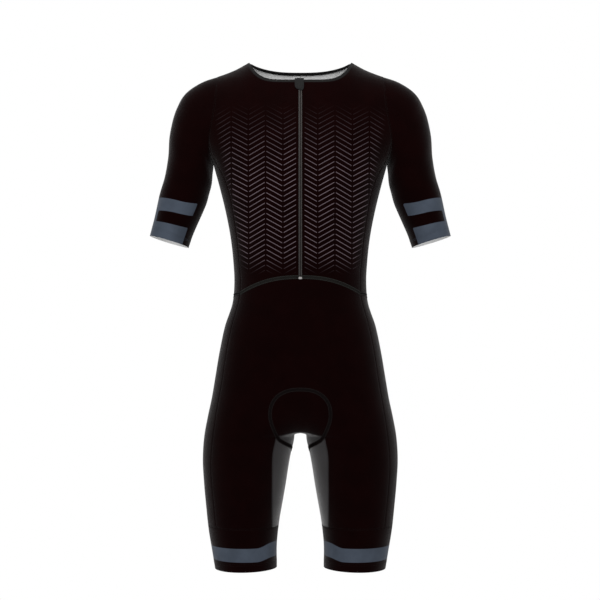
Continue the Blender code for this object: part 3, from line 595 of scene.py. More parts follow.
ACROSS = sorted({*steps(FRONT_COLUMNS, 0, INNER_COLUMN, FRONT_COLUMNS), ZIP_FOLD_COLUMN})
UP = steps(TOP, 0, TORSO_ROWS, TOP)
ROUND_FLANK = steps(FLANK_COLUMNS, 0)
DOWN = steps(LEG_END, 0, HIP_ROWS, CUFF_SEAM_ROW, LEG_END)
INSIDE_ROUND = steps(INSIDE_COLUMNS, 0, INSIDE_COLUMNS)
ALONG = steps(len(SLEEVE_ROWS) - 1, 0, len(SLEEVE_ROWS) - 1)
ROUND_ARM = [
    *sorted(TOP - row for row in UP if row >= TORSO_ROWS),
    *(YOKE_ROWS + j for j in ROUND_FLANK[1:]),
    *(YOKE_ROWS + FLANK_COLUMNS + row - TORSO_ROWS for row in UP if row > TORSO_ROWS),
]
INNER_DOWN = [
    *(i for i in ACROSS if i <= INNER_COLUMN),
    *(row - HIP_ROWS + INNER_COLUMN for row in DOWN if row > HIP_ROWS),
]


def grid(columns, rows, point):
    return np.array([[point(i, row)[:] for row in rows] for i in columns])


def clear_of_chain(place, face, i):
    """The place, moved over from the zip's chain where it is in the front's first column."""
    return on_body(place.x + CHAIN_HALF * (1 - i), place.z, face) if face == "front" and i < 1 else place


def front_of_torso(i, row):
    return clear_of_chain(torso_point("front", i, row), "front", i)


def round_the_flank(j, row):
    if j in (0, FLANK_COLUMNS):
        return torso_point("back" if j else "front", FRONT_COLUMNS, row)
    return flank_point(j, row)


def round_the_hip(j, row):
    if j in (0, FLANK_COLUMNS):
        return shorts_point("back" if j else "front", FRONT_COLUMNS, row)
    return hip_point(j, row)


def inside_the_leg(j, row):
    if j in (0, INSIDE_COLUMNS):
        return shorts_point(*inner_end("back" if j else "front", row))
    return inner_leg_point(j, row)


def run(places, axis):
    """How far along the cloth each place is from the first one, across the columns or down the rows."""
    far = np.linalg.norm(np.diff(places, axis=axis), axis=2)
    start = np.zeros_like(np.take(far, [0], axis))
    return np.concatenate([start, np.cumsum(far, axis)], axis)


def corner(over, up):
    """How far a place is from a seam's end, where it is past that end by these distances."""
    return np.hypot(np.maximum(over, 0), np.maximum(up, 0))


FAR = 1.0  # a distance that stands for nowhere near, in metres


class Block:
    """A stretch of the form that one piece is cut from, with each place's distances along the cloth."""

    def __init__(self, piece, columns, rows, point, inward=False, over=0.0):
        self.piece, self.inward = piece, inward
        self.columns, self.rows = np.array(columns), np.array(rows)
        self.places = grid(columns, rows, point)
        self.left, self.down = run(self.places, 0), run(self.places, 1)
        self.right = self.left[-1] - self.left
        self.up = self.down[:, -1:] - self.down
        self.weave = self.left + over, self.down
        self.seam, self.zip = np.full(self.left.shape, FAR), np.full(self.left.shape, FAR)
        self.band = np.full(self.left.shape, -FAR)

    def seams(self, *distances):
        self.seam = np.minimum.reduce([self.seam, *distances])

    def beside(self, distance, row, below=True):
        """The distance from a seam that lies on one edge, and only above or below this row."""
        away = self.down - self.down[:, [list(self.rows).index(row)]]
        return corner(distance, -away if below else away)


def left_blocks():
    """The wearer's left half of the suit."""
    low = [row for row in UP if row <= TORSO_ROWS]
    front = Block("front", ACROSS, UP, front_of_torso)
    front.seams(front.left, front.right, front.down, front.up)
    front.zip = front.left
    back = Block("back", ACROSS, UP, lambda i, row: torso_point("back", i, row), True)
    back.seams(back.down, back.up, back.beside(back.right, TORSO_ROWS))
    flank = Block("back", ROUND_FLANK, low, round_the_flank)
    flank.weave = back.left[-1, : len(low)] + flank.right, flank.down
    flank.seams(flank.left, flank.down, flank.up)
    sleeve = Block("sleeve", ROUND_ARM, ALONG, sleeve_point)
    sleeve.seams(sleeve.down)
    sleeve.band = sleeve_bands(sleeve)
    return [front, back, flank, sleeve, *(binding_block(face) for face in FACES), *leg_blocks()]


def leg_blocks():
    """The wearer's left half of the shorts, with its cuff."""
    inner = [i for i in ACROSS if i <= INNER_COLUMN]
    outer = [i for i in ACROSS if i >= INNER_COLUMN]
    hips = [row for row in DOWN if row <= HIP_ROWS]
    thigh = [row for row in DOWN if row <= CUFF_SEAM_ROW]
    cuff = [row for row in DOWN if row >= CUFF_SEAM_ROW]
    made, cuffs = [], []
    for face in FACES:
        point = lambda i, row, face=face: shorts_point(face, i, row)
        piece, inward = "shorts_" + face, face == "front"
        middle = Block(piece, inner, hips, point, inward)
        middle.seams(middle.down, middle.up)
        start = np.pad(middle.left[-1], (0, len(thigh) - len(hips)), "edge")
        leg = Block(piece, outer, thigh, point, inward, start)
        leg.seams(leg.down, leg.up, leg.beside(leg.left, HIP_ROWS))
        if face == "front":
            leg.seams(leg.right)
        made += [middle, leg]
        cuffs.append(Block("leg_cuff", outer, cuff, point, inward))
    hip = Block("shorts_back", ROUND_FLANK, thigh, round_the_hip, True)
    hip.seams(hip.left, hip.down, hip.up)
    seam = INNER_COLUMN + THIGH_ROWS
    inside_leg = Block("inner_leg", INSIDE_ROUND, [r for r in INNER_DOWN if r <= seam], inside_the_leg)
    inside_leg.seams(inside_leg.left, inside_leg.right, inside_leg.down, inside_leg.up)
    cuffs.append(Block("leg_cuff", ROUND_FLANK, cuff, round_the_hip, True))
    cuffs.append(Block("leg_cuff", INSIDE_ROUND, [r for r in INNER_DOWN if r >= seam], inside_the_leg))
    for block in cuffs:
        block.seams(block.down)
        block.band = leg_band(block.places)
    return [*made, hip, inside_leg, *cuffs]


# The whole form, both sides, with the places that coincide made one


class Form:
    """All the fine places and quads of the suit."""

    def __init__(self, blocks):
        places, quads, names, weave = [], [], [], []
        facts = {name: [] for name in ("seam", "zip", "band")}
        count = 0
        for side, word in WORDS.items():
            for block in blocks:
                columns, rows = block.left.shape
                number = np.arange(columns * rows).reshape(columns, rows) + count
                count += columns * rows
                places.append(block.places.reshape(-1, 3) * (side, 1, 1))
                for name, values in facts.items():
                    values.append(getattr(block, name).ravel())
                around = [(0, 0), (1, 0), (1, 1), (0, 1)]
                if block.inward != (side < 0):
                    around.reverse()
                cell = [slice(a, columns - 1 + a) for a in (0, 1)], [slice(b, rows - 1 + b) for b in (0, 1)]
                cells = [(cell[0][a], cell[1][b]) for a, b in around]
                quads.append(np.stack([number[c].ravel() for c in cells], 1))
                across, along = block.weave
                woven = [np.stack([side * across[c], along[c]], 2).reshape(-1, 2) for c in cells]
                weave.append(np.stack(woven, 1))
                whole = block.piece in ("back", "shorts_front", "shorts_back", "neck_binding")
                name = block.piece if whole else f"{block.piece}_{word}"
                names += [name] * (columns - 1) * (rows - 1)
        places = np.concatenate(places)
        kept, number = np.unique(welded(places), return_inverse=True)
        self.places = places[kept]
        self.quads = number[np.concatenate(quads)]
        self.weave = np.concatenate(weave)
        self.names = np.array(names)
        self.facts = {}
        for name, values in facts.items():
            least = np.full(len(kept), FAR)
            np.minimum.at(least, number, np.concatenate(values))
            self.facts[name] = least
        self.turn()

    def turn(self):
        """The normal at each place, shared by all the pieces that meet there."""
        a, b, c, d = (self.places[self.quads[:, n]] for n in range(4))
        facing = np.cross(c - a, d - b)
        normals = np.zeros_like(self.places)
        for n in range(4):
            np.add.at(normals, self.quads[:, n], facing)
        self.normals = normals / np.linalg.norm(normals, axis=1, keepdims=True)

    def press(self, depths):
        """Moves each place out along its normal."""
        self.places = self.places + self.normals * depths[:, None]
        self.turn()


def welded(places):
    """For each place, the first one that coincides with it."""
    tree = kdtree.KDTree(len(places))
    for number, place in enumerate(places):
        tree.insert(place, number)
    tree.balance()
    home = np.arange(len(places))
    for number, place in enumerate(places):
        home[number] = min(found[1] for found in tree.find_range(place, WELD))
    return home


# The slate bands: how far inside a band each place is

SLEEVE_BANDS = ((0.1885, 0.00050), (0.2065, 0.00037), (0.2215, 0.00019))  # place along, and rise by column
SLEEVE_BAND_END = 9.1  # the column where the bands stop, towards the inside of the arm
SLEEVE_BAR_END = 2.3  # the column where the bar between the two bands starts
LEG_BAND = (-0.884, -0.909)
LEG_BAND_RISE = (0.008, 0.006)
LEG_BAND_TURN = (0.078, 0.050)


def sleeve_bands(block):
    """Two bands, joined by a strip on the outside of the arm. Each rises towards the inside."""
    from_top = np.minimum(block.columns, SLEEVE_COLUMNS - block.columns)[:, None]
    along = np.interp(block.rows, range(len(SLEEVE_ROWS)), SLEEVE_ROWS)[None, :]
    top, middle, low = (along - place + rise * from_top**2 for place, rise in SLEEVE_BANDS)
    girth = block.left[-1] / SLEEVE_COLUMNS
    joined = np.minimum(top, (SLEEVE_BAR_END - from_top) * girth)
    bands = np.maximum(np.maximum(np.minimum(top, -middle), low), joined)
    return np.minimum(bands, (SLEEVE_BAND_END - from_top) * girth)


def leg_band(places):
    """One plain band all round the leg, a little higher on its inside."""
    x, z = places[:, :, 0], places[:, :, 2]
    share = np.clip((LEG_BAND_TURN[0] - x) / (LEG_BAND_TURN[0] - LEG_BAND_TURN[1]), 0, 1)
    top, low = (place + rise * smooth(share) for place, rise in zip(LEG_BAND, LEG_BAND_RISE))
    return np.minimum(top - z, z - low)


# Pieces: closed shells of cloth

CLOTH_THICK = 0.0010
CLOTH_SHARP = 55  # the cloth's edges sharper than this many degrees stay sharp
GROOVE = 0.0004  # how deep the cloth dips into a seam
GROOVE_WIDTH = 0.0016
RIM = 0.00001  # how far each piece stays inside its own edges
ZIP_FOLD = 0.0005  # the front's folded edge beside the zip, proud of the cloth
ZIP_FOLD_WIDTH = 0.0052
ZIP_FOLD_TURN = 0.0012
TINY = 1e-12


def add_object(name, vertices, faces, materials, smooth=True):
    data = bpy.data.meshes.new(name)
    data.from_pydata([tuple(v) for v in vertices], [], [tuple(f) for f in faces])
    for material in materials:
        data.materials.append(material)
    if smooth:
        data.shade_smooth()
    return add_to_scene(name, data)


def add_to_scene(name, data, place=(0, 0, 0)):
    made = bpy.data.objects.new(name, data)
    made.location = place
    bpy.context.scene.collection.objects.link(made)
    return made


def open_edges(faces):
    """The edges that only one face has, each with that face's number."""
    edges = np.concatenate([faces[:, [n, (n + 1) % 4]] for n in range(4)]).tolist()
    known = {tuple(edge) for edge in edges}
    return [(a, b, n % len(faces)) for n, (a, b) in enumerate(edges) if (b, a) not in known]


def drawn_in(places, normals, faces, rims):
    """The places, with those on the rims moved a little towards the inside of the piece."""
    inward, middles = np.zeros_like(places), places[faces].mean(1)
    for a, b, face in rims:
        across = np.cross((normals[a] + normals[b]) / 2, places[b] - places[a])
        across /= np.linalg.norm(across) + TINY
        if across @ (middles[face] - places[a]) < 0:
            across = -across
        inward[[a, b]] += across
    size = np.linalg.norm(inward, axis=1, keepdims=True)
    return places + np.where(size > 0, inward / np.maximum(size, TINY) * RIM, 0)


def shell(form, name, outside, inside_material):
    """One piece of cloth: its stretch of the form as an outer face, an inner face and the rims."""
    mine = form.names == name
    weave = form.weave[mine]
    used, faces = np.unique(form.quads[mine], return_inverse=True)
    faces, count = faces.reshape(-1, 4), len(used)
    rims, normals = open_edges(faces), form.normals[used]
    places = drawn_in(form.places[used], normals, faces, rims)
    vertices = np.concatenate([places, places - normals * CLOTH_THICK])
    walls = np.array([(b, a, a + count, b + count) for a, b, _ in rims])
    skin = np.concatenate([faces, faces[:, ::-1] + count, walls])
    made = add_object(name, vertices, skin, [outside, inside_material])
    data = made.data
    kinds = np.zeros(len(data.polygons), np.int32)
    kinds[len(faces) : 2 * len(faces)] = 1
    data.polygons.foreach_set("material_index", kinds)
    rim_weave = np.repeat(weave[[face for _, _, face in rims], :1], 4, 1)
    corners = np.concatenate([weave, weave[:, ::-1], rim_weave])
    write(data, "weave", "FLOAT_VECTOR", "CORNER", np.pad(corners.reshape(-1, 2), ((0, 0), (0, 1))))
    for fact in ("zip", "band"):
        write(data, fact, "FLOAT", "POINT", np.tile(form.facts[fact][used], 2))
    data.set_sharp_from_angle(angle=math.radians(CLOTH_SHARP))
    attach(made, "root")
    return made


def write(data, name, kind, domain, values):
    layer = data.attributes.new(name, kind, domain)
    layer.data.foreach_set("vector" if kind == "FLOAT_VECTOR" else "value", values.ravel().astype(np.float32))


# Creases: soft ridges and troughs, each from one place to another

CREASE_STEP = 0.004
CREASE_START, CREASE_RUN = 0.12, 0.76  # a crease's height follows this part of a half wave
CREASES = [  # (from, to, height, half its width), in metres; a height below 0 is a trough
    # from the armpits over the chest
    ((0.150, -0.060, -0.168), (0.098, -0.104, -0.222), -0.0009, 0.008),
    ((0.147, -0.066, -0.180), (0.108, -0.100, -0.238), 0.0006, 0.006),
    ((-0.149, -0.062, -0.172), (-0.104, -0.102, -0.214), -0.0008, 0.009),
    ((-0.144, -0.068, -0.192), (-0.100, -0.104, -0.244), -0.0005, 0.007),
    # from the armpits over the back
    ((0.150, 0.062, -0.166), (0.100, 0.100, -0.226), -0.0010, 0.009),
    ((0.146, 0.070, -0.186), (0.090, 0.102, -0.252), 0.0007, 0.007),
    ((-0.151, 0.060, -0.170), (-0.112, 0.098, -0.218), -0.0009, 0.008),
    ((-0.142, 0.076, -0.196), (-0.094, 0.100, -0.240), -0.0006, 0.008),
    # across the small of the back
    ((0.084, 0.074, -0.372), (0.012, 0.088, -0.386), -0.0010, 0.010),
    ((0.070, 0.080, -0.402), (-0.010, 0.089, -0.410), 0.0007, 0.008),
    ((-0.092, 0.068, -0.380), (-0.024, 0.087, -0.398), -0.0009, 0.010),
    ((-0.060, 0.082, -0.350), (0.020, 0.090, -0.358), -0.0007, 0.009),
    # round the waist's sides
    ((0.118, -0.020, -0.372), (0.092, -0.072, -0.392), -0.0006, 0.008),
    ((-0.119, -0.016, -0.388), (-0.096, -0.068, -0.404), -0.0006, 0.009),
    # from the groin over the thighs
    ((0.040, -0.094, -0.652), (0.104, -0.100, -0.612), -0.0006, 0.009),
    ((-0.042, -0.094, -0.660), (-0.112, -0.098, -0.624), -0.0005, 0.010),
    # below the seat and behind the knees
    ((0.036, 0.096, -0.690), (0.126, 0.104, -0.676), -0.0010, 0.009),
    ((-0.040, 0.096, -0.694), (-0.118, 0.106, -0.684), -0.0009, 0.010),
    ((0.060, 0.076, -0.848), (0.132, 0.070, -0.826), -0.0008, 0.009),
    ((0.072, 0.072, -0.886), (0.136, 0.062, -0.872), 0.0005, 0.007),
    ((-0.064, 0.076, -0.838), (-0.134, 0.068, -0.852), -0.0008, 0.010),
    # in the bend of each elbow and under the arm
    ((0.196, -0.046, -0.232), (0.238, -0.048, -0.214), -0.0006, 0.007),
    ((-0.200, -0.046, -0.224), (-0.242, -0.048, -0.212), -0.0005, 0.008),
    ((0.190, 0.046, -0.214), (0.232, 0.050, -0.190), -0.0007, 0.008),
    ((-0.192, 0.046, -0.226), (-0.236, 0.050, -0.204), -0.0007, 0.007),
]


def creases(form):
    """How far each place is moved out by the creases, which are laid on the form first."""
    cloth, moved = Cloth(form), np.zeros(len(form.places))
    for start, end, height, width in CREASES:
        path, _ = cloth.lay(spaced((start, end), CREASE_STEP))
        away = np.linalg.norm(form.places[:, None] - path, axis=2)
        share = away.argmin(1) / (len(path) - 1)
        wave = np.sin(np.pi * (CREASE_START + CREASE_RUN * share))
        moved += height * np.exp(-((away.min(1) / width) ** 2)) * wave
    return moved


# Lines on the cloth: strips, and stitches of thread

STITCH = [  # a stitch's places along it, across it and up from the cloth, in shares of its size
    (-0.50, 0.0, -0.2),
    *[(-0.30, 0.5, 0.1), (-0.30, 0.0, 0.9), (-0.30, -0.5, 0.1), (-0.30, 0.0, -0.6)],
    *[(0.30, 0.5, 0.1), (0.30, 0.0, 0.9), (0.30, -0.5, 0.1), (0.30, 0.0, -0.6)],
    (0.50, 0.0, -0.2),
]
STITCH_FACES = [
    *[(0, 1 + (n + 1) % 4, 1 + n) for n in range(4)],
    *[(1 + n, 1 + (n + 1) % 4, 5 + (n + 1) % 4, 5 + n) for n in range(4)],
    *[(9, 5 + n, 5 + (n + 1) % 4) for n in range(4)],
]
STRIP_STEP = 0.003
TRIM_SHARP = 40  # the trims' edges sharper than this many degrees stay sharp
ON_CORNER = 1e-9  # keeps a corner's share of the normal finite, where the place is on that corner


class Cloth:
    """The outer surface of the form."""

    def __init__(self, form):
        self.form = form
        self.tree = BVHTree.FromPolygons(form.places.tolist(), form.quads.tolist())

    def on(self, place):
        """The nearest place of the surface, and the normal there."""
        found, _, quad, _ = self.tree.find_nearest(Vector(place))
        found, around = np.array(found), self.form.quads[quad]
        away = np.linalg.norm(self.form.places[around] - found, axis=1)
        normal = (1 / (away**2 + ON_CORNER)) @ self.form.normals[around]
        return found, normal / np.linalg.norm(normal)

    def lay(self, places):
        found, normals = zip(*(self.on(place) for place in places))
        return np.array(found), np.array(normals)


def spaced(path, step, closed=False):
    """Places at equal distances along a path, about a step apart."""
    path = np.array([tuple(place) for place in path])
    if closed:
        path = np.vstack([path, path[:1]])
    far = np.concatenate([[0.0], np.cumsum(np.linalg.norm(np.diff(path, axis=0), axis=1))])
    at = np.linspace(0, far[-1], max(round(far[-1] / step), 2) + 1)
    places = np.stack([np.interp(at, far, path[:, n]) for n in range(3)], 1)
    return places[:-1] if closed else places


def unit(vectors):
    return vectors / np.maximum(np.linalg.norm(vectors, axis=1, keepdims=True), TINY)


def rail(cloth, path, step, closed=False):
    """Steps along a path on the cloth: their places, their normals and the way across."""
    places, normals = cloth.lay(spaced(path, step, closed))
    if closed:
        along = np.roll(places, -1, 0) - np.roll(places, 1, 0)
    else:
        along = np.gradient(places, axis=0)
    return places, normals, unit(np.cross(normals, along))


def strip(name, cloth, path, profile, material, closed=False):
    """A strip that lies along a path. Its profile is a loop of distances across and lifts."""
    places, _, across = rail(cloth, path, STRIP_STEP, closed)
    sections = []
    for over, lift in profile:
        laid, normals = cloth.lay(places + across * over)
        sections.append(laid + normals * lift)
    return loft(name, np.array(sections).transpose(1, 0, 2), material, closed)


def loft(name, sections, material, closed=False, sharp=TRIM_SHARP):
    """A closed skin through sections, which are loops with the same number of places."""
    count, around = sections.shape[:2]
    number = np.arange(count * around).reshape(count, around)
    faces = []
    for k in range(count if closed else count - 1):
        after = (k + 1) % count
        for n in range(around):
            beside = (n + 1) % around
            faces.append((number[k, n], number[k, beside], number[after, beside], number[after, n]))
    if not closed:
        faces += [tuple(number[0, ::-1]), tuple(number[-1])]
    made = add_object(name, sections.reshape(-1, 3), faces, [material])
    mesh = bmesh.new()
    mesh.from_mesh(made.data)
    bmesh.ops.recalc_face_normals(mesh, faces=mesh.faces)
    mesh.to_mesh(made.data)
    mesh.free()
    made.data.set_sharp_from_angle(angle=math.radians(sharp))
    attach(made, "root")
    return made


def row(cloth, path, pitch, length, over=0.0, slant=0.0, closed=False, lift=0.0):
    """A row of stitches beside a path. With a slant they zigzag."""
    places, _, across = rail(cloth, path, pitch, closed)
    laid, normals = cloth.lay(places + across * over)
    along = unit(np.cross(across, normals))
    turn = slant * np.where(np.arange(len(laid)) % 2, 1, -1)[:, None]
    ahead = along * np.cos(turn) + across * np.sin(turn)
    return laid + normals * lift, ahead * length, normals


def thread(name, rows, width, height, material):
    """One piece with all the stitches of these rows."""
    places, along, normals = (np.concatenate(part) for part in zip(*rows))
    across = unit(np.cross(normals, along)) * width
    shape = np.array(STITCH)
    corners = places[:, None] + shape[None, :, :1] * along[:, None]
    corners += shape[None, :, 1:2] * across[:, None] + shape[None, :, 2:] * (normals * height)[:, None]
    start = np.arange(len(places)) * len(STITCH)
    faces = [tuple(int(n + first) for n in face) for first in start for face in STITCH_FACES]
    made = add_object(name, corners.reshape(-1, 3), faces, [material])
    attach(made, "root")
    return made


# The lines that the trims and the stitches follow

NECK_STEPS = [i for i in ACROSS if i <= NECK_COLUMNS]
PAD = {  # the pad's ring: its top, and how far out it reaches and at what height
    "front": {"top": -0.5958, "reach": 0.0541, "widest": -0.6420},
    "back": {"top": -0.5480, "reach": 0.0720, "widest": -0.6220},
}
PAD_END = (0.0430, -0.6790)  # where each half of it ends: how far out, and at what height
PAD_SQUARE = 0.86  # below 1, the ring is squarer than an ellipse
PAD_SAG, PAD_SAG_POWER = 1.15, 0.9  # how many rows lower it crosses the inside of the leg, and how evenly
PAD_TURN_STEPS, PAD_DOWN_STEPS, PAD_INSIDE_STEPS = 24, 12, 16


def on_side(path, side):
    return [Vector((side * place[0], place[1], place[2])) for place in path]


def both_sides(left, closed=True):
    """The path from its middle round the wearer's left, and back round the right."""
    right = on_side(left, -1)[::-1]
    return [*left, *(right[1:-1] if closed else right[1:])]


def parts(first, last, count=4):
    """Steps from one column or row to another, both with them, so many to each."""
    return [n / count for n in range(count * first, count * last + 1)]


def waist_front():
    """The waist seam over the front, from side seam to side seam."""
    left = [torso_point("front", i, 0) for i in parts(0, FRONT_COLUMNS, 2)]
    return [*on_side(left, -1)[:0:-1], *left]


def waist_back():
    """The waist seam from one side seam round the back to the other."""
    flank = [round_the_flank(j, 0) for j in parts(0, FLANK_COLUMNS, 2)]
    back = [torso_point("back", i, 0) for i in reversed(parts(0, FRONT_COLUMNS, 2))]
    return both_sides([*flank, *back[1:]], False)


def pad_side(face):
    """Half of the pad's ring on the front or the back, from its top down to the inside of the leg."""
    pad, path = PAD[face], []
    for n in range(PAD_TURN_STEPS + 1):
        turn = math.pi / 2 * n / PAD_TURN_STEPS
        across, up = (power_of(value, PAD_SQUARE) for value in (math.sin(turn), math.cos(turn)))
        path.append((pad["reach"] * across, mix(pad["widest"], pad["top"], up)))
    for n in range(1, PAD_DOWN_STEPS + 1):
        down = n / PAD_DOWN_STEPS
        bend = down * down * (3 - down) / 2
        path.append((mix(pad["reach"], PAD_END[0], bend), mix(pad["widest"], PAD_END[1], down)))
    return [on_body(x, height, face) for x, height in path]


def round_pad():
    middle = INSIDE_COLUMNS / 2
    inside_leg = []
    for n in range(1, PAD_INSIDE_STEPS):
        j = INSIDE_COLUMNS * n / PAD_INSIDE_STEPS
        sag = PAD_SAG * (1 - abs(j - middle) / middle) ** PAD_SAG_POWER
        inside_leg.append(inner_leg_point(j, INNER_COLUMN + sag))
    return both_sides([*pad_side("front"), *inside_leg, *reversed(pad_side("back"))])


def down_side_seam():
    torso = [torso_point("front", FRONT_COLUMNS, at) for at in reversed(parts(0, TORSO_ROWS))]
    return [*torso, *(shorts_point("front", FRONT_COLUMNS, at) for at in parts(0, CUFF_SEAM_ROW)[1:])]


def down_inner_seam(face):
    arch_row = [shorts_point(face, i, HIP_ROWS) for i in parts(0, INNER_COLUMN)[:-1]]
    return [*arch_row, *(shorts_point(face, INNER_COLUMN, at) for at in parts(HIP_ROWS, CUFF_SEAM_ROW))]


def round_leg(at):
    """A ring round the leg, from the inner seam round its front, its outside, its back and its inside."""
    steps_out = parts(INNER_COLUMN, FRONT_COLUMNS)
    front = [shorts_point("front", i, at) for i in steps_out]
    flank = [round_the_hip(j, at) for j in parts(0, FLANK_COLUMNS)[1:-1]]
    back = [shorts_point("back", i, at) for i in reversed(steps_out)]
    inner_row = at - HIP_ROWS + INNER_COLUMN
    inside_leg = [inside_the_leg(j, inner_row) for j in reversed(parts(0, INSIDE_COLUMNS)[1:-1])]
    return [*front, *flank, *back, *inside_leg]


def round_armhole():
    return [armhole_point(k * ARMHOLE_STEP / 3) for k in range(3 * SLEEVE_COLUMNS)]


def round_sleeve(at):
    return [sleeve_point(k, at) for k in parts(0, SLEEVE_COLUMNS, 3)[:-1]]


def along_shoulder():
    return [torso_point("front", i, TOP) for i in parts(NECK_COLUMNS, FRONT_COLUMNS)]


def under_arm():
    return [sleeve_point(SLEEVE_COLUMNS / 2, at) for at in parts(0, len(SLEEVE_ROWS) - 1)]


# Flatlock seams: a low strip with a chain of thread along each edge and a zigzag between

# The strip's edge, from its foot up to its middle: the share of half its width, and the lift
FLATLOCK_EDGE = ((1, -0.0003), (1, 0.00010), (0.75, 0.00042), (0.35, 0.00030))
FLATLOCK_MIDDLE = 0.00022
FLATLOCK_PITCH = 0.0025
CHAIN_PLACE = 0.72  # how far out each chain is, as a share of half the width
CHAIN_LENGTH = 1.05  # a stitch's length, as a share of the pitch
CHAIN_SLANT, CHAIN_LIFT, CHAIN_SIZE = 0.12, 0.00035, (0.0011, 0.00035)
ZIGZAG_PITCH, ZIGZAG_LENGTH = 0.8, 1.1  # as shares of the chains' pitch and of half the width
ZIGZAG_SLANT, ZIGZAG_LIFT, ZIGZAG_SIZE = 0.95, 0.00024, (0.0005, 0.00025)


def flatlock(name, cloth, path, width, tape, bright, dark, closed=True):
    half, pitch = width / 2, FLATLOCK_PITCH
    profile = [(-half * x, lift) for x, lift in FLATLOCK_EDGE] + [(0, FLATLOCK_MIDDLE)]
    profile += [(half * x, lift) for x, lift in reversed(FLATLOCK_EDGE)]
    made = [strip(name + "_strip", cloth, path, profile, tape, closed)]
    chains = []
    for over in (-CHAIN_PLACE * half, CHAIN_PLACE * half):
        chains.append(row(cloth, path, pitch, pitch * CHAIN_LENGTH, over, CHAIN_SLANT, closed, CHAIN_LIFT))
    made.append(thread(name + "_chains", chains, *CHAIN_SIZE, bright))
    sizes = pitch * ZIGZAG_PITCH, half * ZIGZAG_LENGTH
    zigzag = row(cloth, path, *sizes, 0, ZIGZAG_SLANT, closed, ZIGZAG_LIFT)
    made.append(thread(name + "_zigzag", [zigzag], *ZIGZAG_SIZE, dark))
    return made


# The neck's binding, folded over the edge of the neck

BINDING_WALL = 0.0005
BINDING_LIFT = 0.0004
BINDING_LAP = 0.0006
BINDING_SHORT = 0.0004  # how much shorter it is inside the neck
BINDING_CROWN = 0.0001  # how much higher its middle is than its edges
BINDING_LINE = 0.22  # how far up its outside its stitches are
BINDING_STEPS = [0, 0.5, 1]
BINDING_FOLD_STEPS = 6
BINDING_STITCHES, BINDING_STITCH_LIFT, BINDING_THREAD = (0.0024, 0.0018), 0.0005, (0.0005, 0.0003)


def binding_edge(face, i):
    return clear_of_chain(neck_point(face, i), face, i)


def binding_seam(face, i):
    x, top = top_of_yoke(i, face)
    return on_body(x + CHAIN_HALF * (1 - i) if face == "front" and i < 1 else x, top, face)


def binding_block(face):
    def point(i, up):
        return binding_seam(face, i).lerp(binding_edge(face, i), up)

    return Block("neck_binding", NECK_STEPS, BINDING_STEPS, point, face == "back")


def binding_section(seam, seam_out, edge, edge_out):
    """The fold of the strip: down the outside, over the edge and down the inside, and back."""
    up = (edge - seam) / np.linalg.norm(edge - seam)
    low, low_inside = seam - up * BINDING_LAP, seam + up * BINDING_SHORT
    loop = []
    for wall in (0.0, BINDING_WALL):
        radius = BINDING / 2 - wall
        middle = edge - up * BINDING / 2 + edge_out * (BINDING_LIFT - BINDING / 2)
        inner = BINDING - BINDING_LIFT - wall
        half = [
            low + seam_out * (BINDING_LIFT - wall),
            (low + edge) / 2 + (seam_out + edge_out) / 2 * (BINDING_LIFT + BINDING_CROWN - wall),
        ]
        for n in range(BINDING_FOLD_STEPS + 1):
            turn = math.pi * n / BINDING_FOLD_STEPS
            half.append(middle + edge_out * radius * math.cos(turn) + up * radius * math.sin(turn))
        half.append((low_inside + edge) / 2 - (seam_out + edge_out) / 2 * inner)
        half.append(low_inside - seam_out * inner)
        loop += half if wall == 0 else half[::-1]
    return loop


def neck_binding(cloth, material, stitch):
    """The strip from one side of the zip round the back of the neck to the other."""
    stations = [*(("front", i) for i in NECK_STEPS), *(("back", i) for i in NECK_STEPS[-2::-1])]
    seams = both_sides([binding_seam(*station) for station in stations], False)
    edges = both_sides([binding_edge(*station) for station in stations], False)
    sections = [binding_section(*cloth.on(seam), *cloth.on(edge)) for seam, edge in zip(seams, edges)]
    made = loft("neck_binding_strip", np.array(sections), material)
    line = [seam.lerp(edge, BINDING_LINE) for seam, edge in zip(seams, edges)]
    rows = [row(cloth, line, *BINDING_STITCHES, lift=BINDING_STITCH_LIFT)]
    return made, thread("neck_binding_stitches", rows, *BINDING_THREAD, stitch)


# The zip

ZIP_STEP = 0.00065
ZIP_RIB = 0.00010
ZIP_PROFILE = [  # distance from the middle, lift, and how much of the rib
    (0.0, -0.00110, 0),
    (0.00050, -0.00080, 0),
    (0.00060, 0.00010, 0),
    (0.00095, 0.00038, 1),
    (0.00180, 0.00045, 1),
    (0.00245, 0.00034, 1),
    (0.00280, -0.00010, 0),
    (0.00295, -0.00115, 0),
    (0.01210, -0.00118, 0),
    (0.01210, -0.00175, 0),
    (0.0, -0.00175, 0),
]
ZIP_SHADE_SIDES = (0, 1, len(ZIP_PROFILE) - 1)  # the profile's sides down in the groove between the two halves, coloured dark as painted shade
ZIP_SHARP = 50


def zip_strip(side, material, dark):
    count = round((NECK_FRONT - WAIST) / ZIP_STEP)
    sections = []
    for n in range(count + 1):
        height = mix(NECK_FRONT, WAIST, n / count)
        _, out, _ = front_frame(height)
        rib = ZIP_RIB * (1 if n % 2 else -1)
        section = []
        for x, lift, share in ZIP_PROFILE:
            place = on_body(x, height, "front") + out * (lift + share * rib)
            section.append((side * place.x, place.y, place.z))
        sections.append(section)
    made = loft("zip_tape_" + WORDS[side], np.array(sections), material, sharp=ZIP_SHARP)
    # the second slot is painted shade: a dark colour on the groove's faces between the two halves
    made.data.materials.append(dark)
    around, faces = len(ZIP_PROFILE), len(made.data.polygons)
    kinds = [1 if n < count * around and n % around in ZIP_SHADE_SIDES else 0 for n in range(faces)]
    made.data.polygons.foreach_set("material_index", kinds)
    return made


def front_frame(height):
    """The place on the chest's middle line at a height, its outward normal and its downward line."""
    step = 0.002
    above, below = on_body(0, height + step, "front"), on_body(0, height - step, "front")
    down = (below - above).normalized()
    return on_body(0, height, "front"), Vector((0, down.z, -down.y)), down


# The flap over the top of the zip

